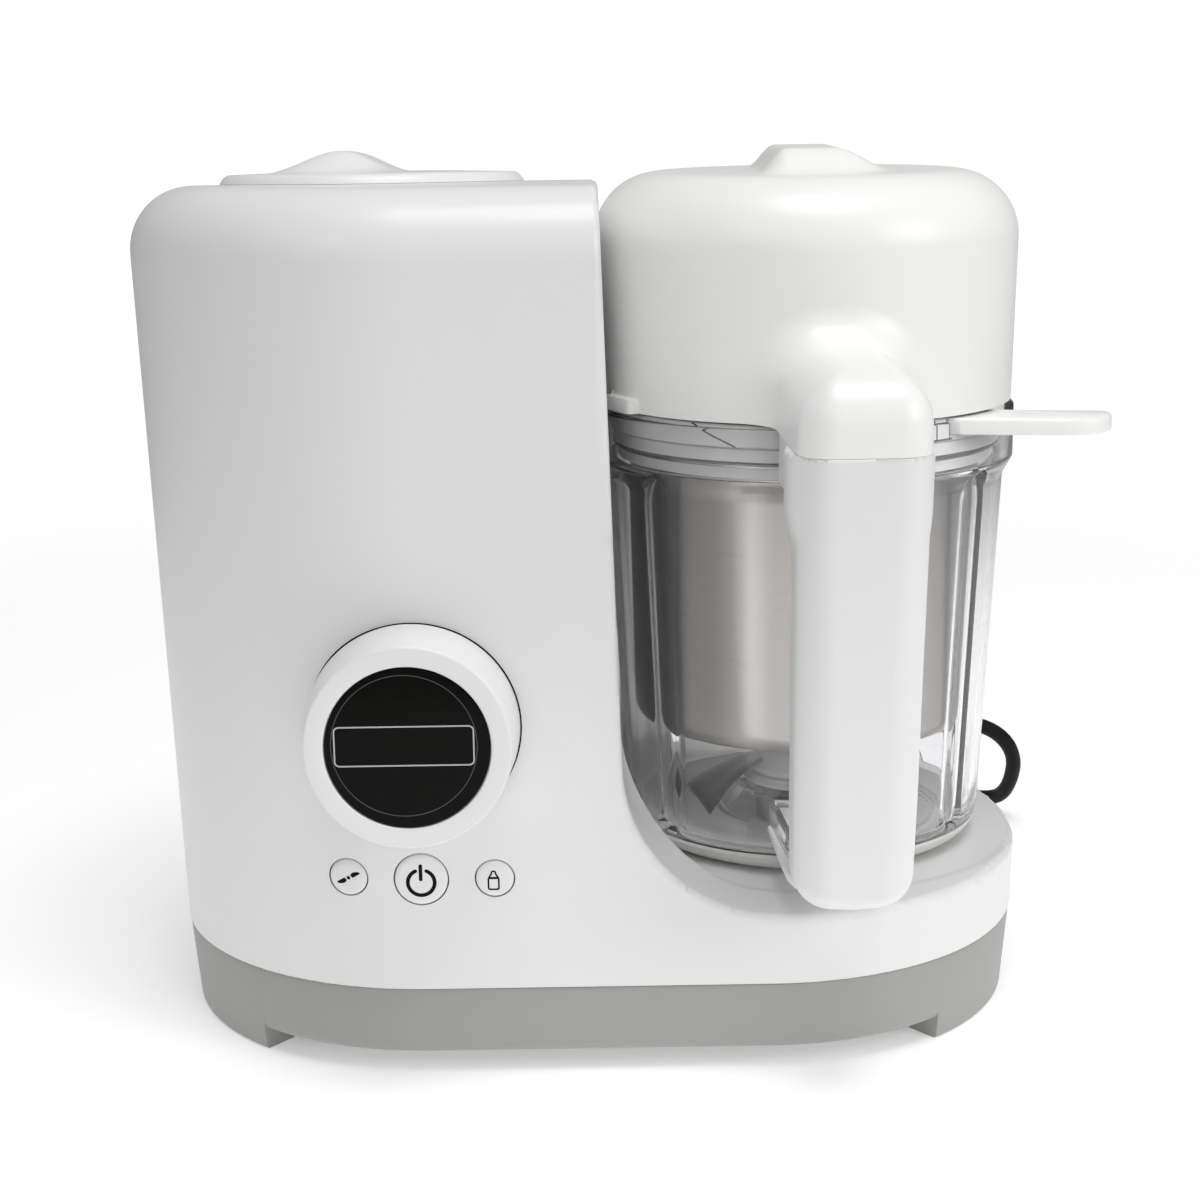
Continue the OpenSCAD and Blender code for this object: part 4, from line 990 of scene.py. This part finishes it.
def handle_field(x, y, z):
    """A grip that widens upwards with a rounded lower end, filleted into the arm at the collar and
    cut level under the lid and round against the jug."""
    x = x - JUG_X
    across, along = handle_place(x, y, z)
    half = np.interp(z, GRIP_Z, GRIP_HALF)
    grip = rectangle(across, along + HANDLE_REACH - GRIP_DEPTH, half, GRIP_DEPTH, GRIP_ROUND)
    grip = both(grip, GRIP_FOOT + 0.008 * across ** 2 - z, 7.0)
    arm = rectangle(across + 1.2, z - ARM_Z, 13.6, 9.5, 3.0)
    arm = both(arm, np.maximum(along + 50.0, -along - 100.0), 0.5)
    shape = np.maximum(either(grip, arm, GRIP_ROUND), z - LID_Z + 0.12)
    jug = np.interp(z, [60, 148, COLLAR_Z], [52.2, 56.6, COLLAR_R + 0.3])
    return np.maximum(shape, jug - np.hypot(x, y))


def make_handle(step=1.15):
    """The grip as its field's skin, and the thin shelf under the clear arm."""
    points, quads = skin(handle_field, (38.3, -115.3, 50.3), (84.5, -45, LID_Z + 2.3), step)
    skinned("handle_grip", points, quads, handle_field, "jug", "jug_handle")
    sections = [(along, boxed_line(half, low, SHELF_TOP, 0.5, 0.4, 4))
                for along, half, low in SHELF]
    piece("handle_shelf", *arm_shape(sections, 52.3, HANDLE_SHIFT), "jug")


make_handle()

# Lid
LID_ROUND, LID_WALL, LID_FULL = 18.5, 2.4, 47.0
RIDGE_HIGH, RIDGE_R = 6.4, 39.2
BLOCK_HIGH, BLOCK_RISE, BLOCK_ROUND, BLOCK_DEPTH = 19.0, 0.05, 12.0, 35.0
LOCK_ANGLE, LOCK_R, LOCK_HIGH = radians(208.0), 55.0, 4.0


def lid_field(x, y, z):
    """A cap with a rounded top edge and a grip ridge, filleted to the block over the handle,
    and the interlock lug at its rim."""
    x = x - JUG_X
    radius = np.hypot(x, y)
    side = radius - (LID_R + (LID_MAX_R - LID_R) * np.clip((z - LID_Z) / LID_FULL, 0, 1))
    ridge = eased((x + 15.0) / 8.0) * eased((23.0 - x) / 17.0) * eased((33.0 - np.abs(y)) / 14.0)
    cap = both(side, z - LID_TOP, LID_ROUND)
    cap = np.minimum(cap, np.maximum(z - LID_TOP - RIDGE_HIGH * ridge, radius - RIDGE_R))
    half = np.interp(z, [170, 192], [16.5, 15.7])
    across, outward = handle_place(x, y, z)
    block = rectangle(across, outward + HANDLE_REACH - BLOCK_DEPTH, half, BLOCK_DEPTH, 9.0)
    top = LID_Z + BLOCK_HIGH + BLOCK_RISE * (outward + HANDLE_REACH)
    block = both(block, z - top, BLOCK_ROUND)
    along, beside = spun(x, y, -LOCK_ANGLE)
    lug = np.maximum(rectangle(along - LOCK_R, beside, 5.6, 7.0, 1.5), z - LID_Z - LOCK_HIGH)
    return np.minimum(either(cap, block, 9.0), np.maximum(lug, -1.0))


def make_lid(step=1.25):
    """The cap as its field's skin with a wall, and the skirt inside it as a turned line."""
    low, high = (JUG_X - 64.3, -115.2, LID_Z - step / 2), (JUG_X + 64, 64, LID_TOP + 8)
    points, quads = walled(*skin(lid_field, low, high, step), lid_field, LID_WALL)
    skinned("lid_cap", points, quads, lid_field, "lid", "lid", material=WHITE_PAINTED_LIGHTER)
    foot, seat, top = LID_Z - 10.6, LID_Z + 0.8, LID_Z + 2.5
    skirt = rounded_line([
        (50.1, foot, 0.8), (52.3, foot, 0.8), (52.3, seat, 0.4), (55.4, seat, 0.3),
        (55.4, top, 0.3), (50.1, top, 0.5)])
    piece("lid_skirt", *turned(skirt, 160), "lid", material=WHITE_PAINTED_LIGHTER)


make_lid()


# Basket and its ring
def make_basket():
    """The cup's line turned about the jug axis, with a rolled flange."""
    floor, rim = heights("steam_basket")
    line = rounded_line([
        (0, floor, 0), (48.4, floor, 6.0), (49.9, rim - 0.8, 1.4), (54.1, rim - 0.8, 0.3),
        (54.1, rim, 0.3), (49.1, rim, 2.0), (47.6, floor + 0.8, 5.2), (0, floor + 0.8, 0)], 8)
    piece("basket_cup", *turned(line, 192, False), "basket", "steam_basket", "brushed_basket",
          angle=50.0)


make_basket()

TAB_TURN, TAB_THICK = radians(-9.0), 4.4
RING_R, RING_LOW_R = 56.13, 54.98
# The ring's painted shadow lines, dark strips where the shadows of its steps and edges fall: a path
# of degrees and of millimetres below the ring's top, width and radius
PAINTED_SHADOW_LINES = (([(-127.0, 0.2), (-120.0, 3.2), (-113.5, 5.8)], 0.42, RING_R),
           ([(-57.5, 0.3), (-57.5, 5.5)], 0.42, RING_R),
           ([(-53.0, 0.3), (-53.0, 5.4)], 0.3, RING_R), ([(-59.5, 5.6), (-52.0, 5.5)], 0.5, RING_R),
           ([(-175.0, 10.2), (-5.0, 10.2)], 0.55, RING_LOW_R))


def painted_shadow_line(path, width, radius, top, depth=0.3):
    """A narrow strip for a painted shadow line on a cylinder about the jug axis, along a path of
    degrees and drops.
    """
    path = np.asarray(path, float)
    t, knots = np.linspace(0, len(path) - 1, 61), np.arange(len(path))
    arc_at = np.radians(np.interp(t, knots, path[:, 0])) * radius
    high = top - np.interp(t, knots, path[:, 1])
    side = sideways(np.gradient(np.c_[arc_at, high], axis=0), width)
    corners = ((1, radius), (-1, radius), (-1, radius - depth), (1, radius - depth))
    loop = [round_axis(level, high + way * side[:, 1], (arc_at + way * side[:, 0]) / radius,
                       JUG_AXIS) for way, level in corners]
    return lofted(np.stack(loop, axis=1))


def tab_shape(top):
    """The lift tab: a rounded plan carried up, drawn in at its lower and upper edges."""
    plan = rounded_line([
        (40.0, -39.4, 0.5), (83.8, -39.4, 12.0), (83.8, -22.4, 2.5), (49.5, -22.4, 0.5)], 10)
    middle, low = plan.mean(axis=0), top - TAB_THICK
    away = plan - middle
    reach = np.maximum(np.linalg.norm(away, axis=1), 1)[:, None]
    layers = []
    for inset, level in ((0.8, low), (0.15, low + 0.25), (0, low + 0.9), (0, top - 1.1),
                         (0.2, top - 0.4), (0.9, top)):
        x, y = spun(*(middle + away * (1 - inset / reach)).T, TAB_TURN)
        layers.append(np.c_[JUG_X + x, y, np.full(len(x), level)])
    return lofted(layers)


def make_ring():
    """The white ring over the basket's flange with its lift tab, and dark strips on the ring that
    paint the shadow lines of its steps and edges.
    """
    base, top = heights("basket_ring")
    foot, step, gap = COLLAR_Z + 0.5, top - 10.4, top - 6.0
    line = rounded_line([
        (52.0, foot, 0.4), (53.5, foot, 0.3), (53.5, step, 0.2), (54.9, step, 0.25),
        (54.9, gap - 0.7, 0.2), (53.9, gap - 0.6, 0.1), (53.9, gap, 0.1), (56.1, gap + 0.1, 0.25),
        (56.1, top, 0.8), (52.6, top, 0.8), (52.6, base + 5.6, 0.2), (52.0, base + 4.4, 0.2)])
    piece("lift_ring", *joined(turned(line, 160), tab_shape(top)), "basket", "basket_ring",
          material=WHITE_PAINTED_LIGHTER)
    # Painted shadow: dark strips laid on the ring where the shadows of its steps and edges fall
    piece("ring_painted_shadow_lines", *joined(*(painted_shadow_line(*row, top) for row in PAINTED_SHADOW_LINES)), "basket", None,
          "inner_plastic", material=PAINTED_SHADOW_GREY)


make_ring()


# Blades
def make_hub():
    """Two turned lines: the bell that carries the blades and the seat under it."""
    low, high = heights("blade_hub")
    bell = rounded_line([
        (3.2, low, 0), (14.4, low, 0.8), (15.2, low + 1.6, 1.0), (12.4, low + 5.6, 4.0),
        (9.0, high - 0.3, 2.0), (3.2, high, 0)], 6)
    piece("blade_bell", *turned(bell, 96), "blade_unit", "blade_hub")
    low, high = heights("blade_seat")
    seat = rounded_line([
        (3.2, low, 0), (5.8, low, 0), (5.8, low + 3.9, 0), (16.6, low + 3.9, 0.6),
        (17.0, high - 1.4, 0.8), (15.4, high, 0.6), (3.2, high, 0)], 5)
    piece("hub_seat", *turned(seat, 96), "jug", "blade_seat")


def wing_shape(turn, level, lift, widen, tilt):
    """A swept wing: a width carried out along a curved line that lifts or dips to its tip, thin
    at both edges."""
    t, s = np.linspace(0, 1, 26)[:, None], np.linspace(-1, 1, 11)
    sweep = radians(turn) + 0.44 * t ** 1.3
    lead = s * (4.6 + widen * eased(t * 1.15 - 0.15))
    reach = 4.0 + 30.0 * t + np.where(s > 0, 3.0, 0.8) * s * t ** 2
    x, y = spun(reach, lead, sweep)
    middle = level + lift * t ** 1.35 - tilt * s * t ** 2 + 0.6
    half = 0.15 + 0.45 * np.clip((1 - np.abs(s)) / 0.3, 0, 1)
    upper = np.stack([JUG_X + x, y, middle + half], axis=-1)
    under = np.stack([JUG_X + x, y, middle - half], axis=-1)[:, ::-1]
    return lofted(np.concatenate([upper, under], axis=1))


def make_blades():
    """Two wings that dip and two that lift, each pair with one wing on either side."""
    low, high = heights("blades")
    dipped = [wing_shape(turn, high - 1.2, -10.5, 5.2, 1.6) for turn in (183, 3)]
    lifted = [wing_shape(turn, low, 4.5, -0.8, 0.0) for turn in (273, 93)]
    piece("blade_wings", *joined(*dipped, *lifted), "blade_unit", "blades", "steel", angle=30.0)


make_hub()
make_blades()

# Stage
SKY_LOW, SKY_MORE, SKY_SEEN = 0.25, 0.17, 1.05
FLOOR_SIZE, FLOOR_FADE, FLOOR_GLOW = 2.0, (0.35, 1.1), 0.30
# Each light's place, width and power
LIGHTS = {"key": ((-0.9, -1.2, 1.1), 0.3, 0.8), "front": ((0.3, -1.7, 0.7), 1.0, 1.3),
          "fill": ((0.75, -0.5, 0.5), 0.5, 2.1), "top": ((0.15, -0.4, 1.7), 1.0, 12.5)}
LIGHTS_AIM = Vector((0.0, 0.0, 0.12))


def make_surround():
    """Sky light that grows from the horizon upwards; white where it is seen itself."""
    world = bpy.data.worlds.new("studio")
    bpy.context.scene.world = world
    world.use_nodes = True
    sky = Finish(tree=world.node_tree)
    up = sky.add("SeparateXYZ", {0: sky.add("TexCoord")}, 2)
    light = SKY_LOW + sky.ramp(up, 0.05, 0.6) * SKY_MORE
    seen = sky.add("LightPath")
    backdrop = sky.tree.nodes["Background"]
    sky.feed(backdrop.inputs["Color"], EVEN)
    sky.feed(backdrop.inputs["Strength"], seen * SKY_SEEN + (1.0 - seen) * light)


def make_stage():
    """A pale floor that fades out into the backdrop and four soft lights."""
    mesh = bpy.data.meshes.new("floor")
    corners = [(-1, -1, 0), (1, -1, 0), (1, 1, 0), (-1, 1, 0)]
    mesh.from_pydata((FLOOR_SIZE * np.array(corners)).tolist(), [], [(0, 1, 2, 3)])
    paint = Finish("floor_pale")
    cloud = paint.noise(3.0, 2.0)
    away = paint.add("VectorMath", {0: paint.place}, 1, operation="LENGTH")
    paint.set(Base_Color=paint.blend(cloud, grey(0.93), grey(0.95)), Roughness=0.7,
              Alpha=paint.ramp(away, *FLOOR_FADE, 1.0, 0.0), Emission_Color=EVEN,
              Emission_Strength=FLOOR_GLOW)
    mesh.materials.append(paint.material)
    linked("floor", mesh)
    for name, (place, size, power) in LIGHTS.items():
        data = bpy.data.lights.new(name, "AREA")
        data.shape = "DISK"
        data.size, data.energy = size, power
        turn = (Vector(place) - LIGHTS_AIM).to_track_quat("Z", "Y").to_matrix().to_4x4()
        linked(name, data).matrix_world = Matrix.Translation(place) @ turn
    bpy.context.scene.view_settings.view_transform = "Standard"


make_surround()
make_stage()

bpy.context.view_layer.update()
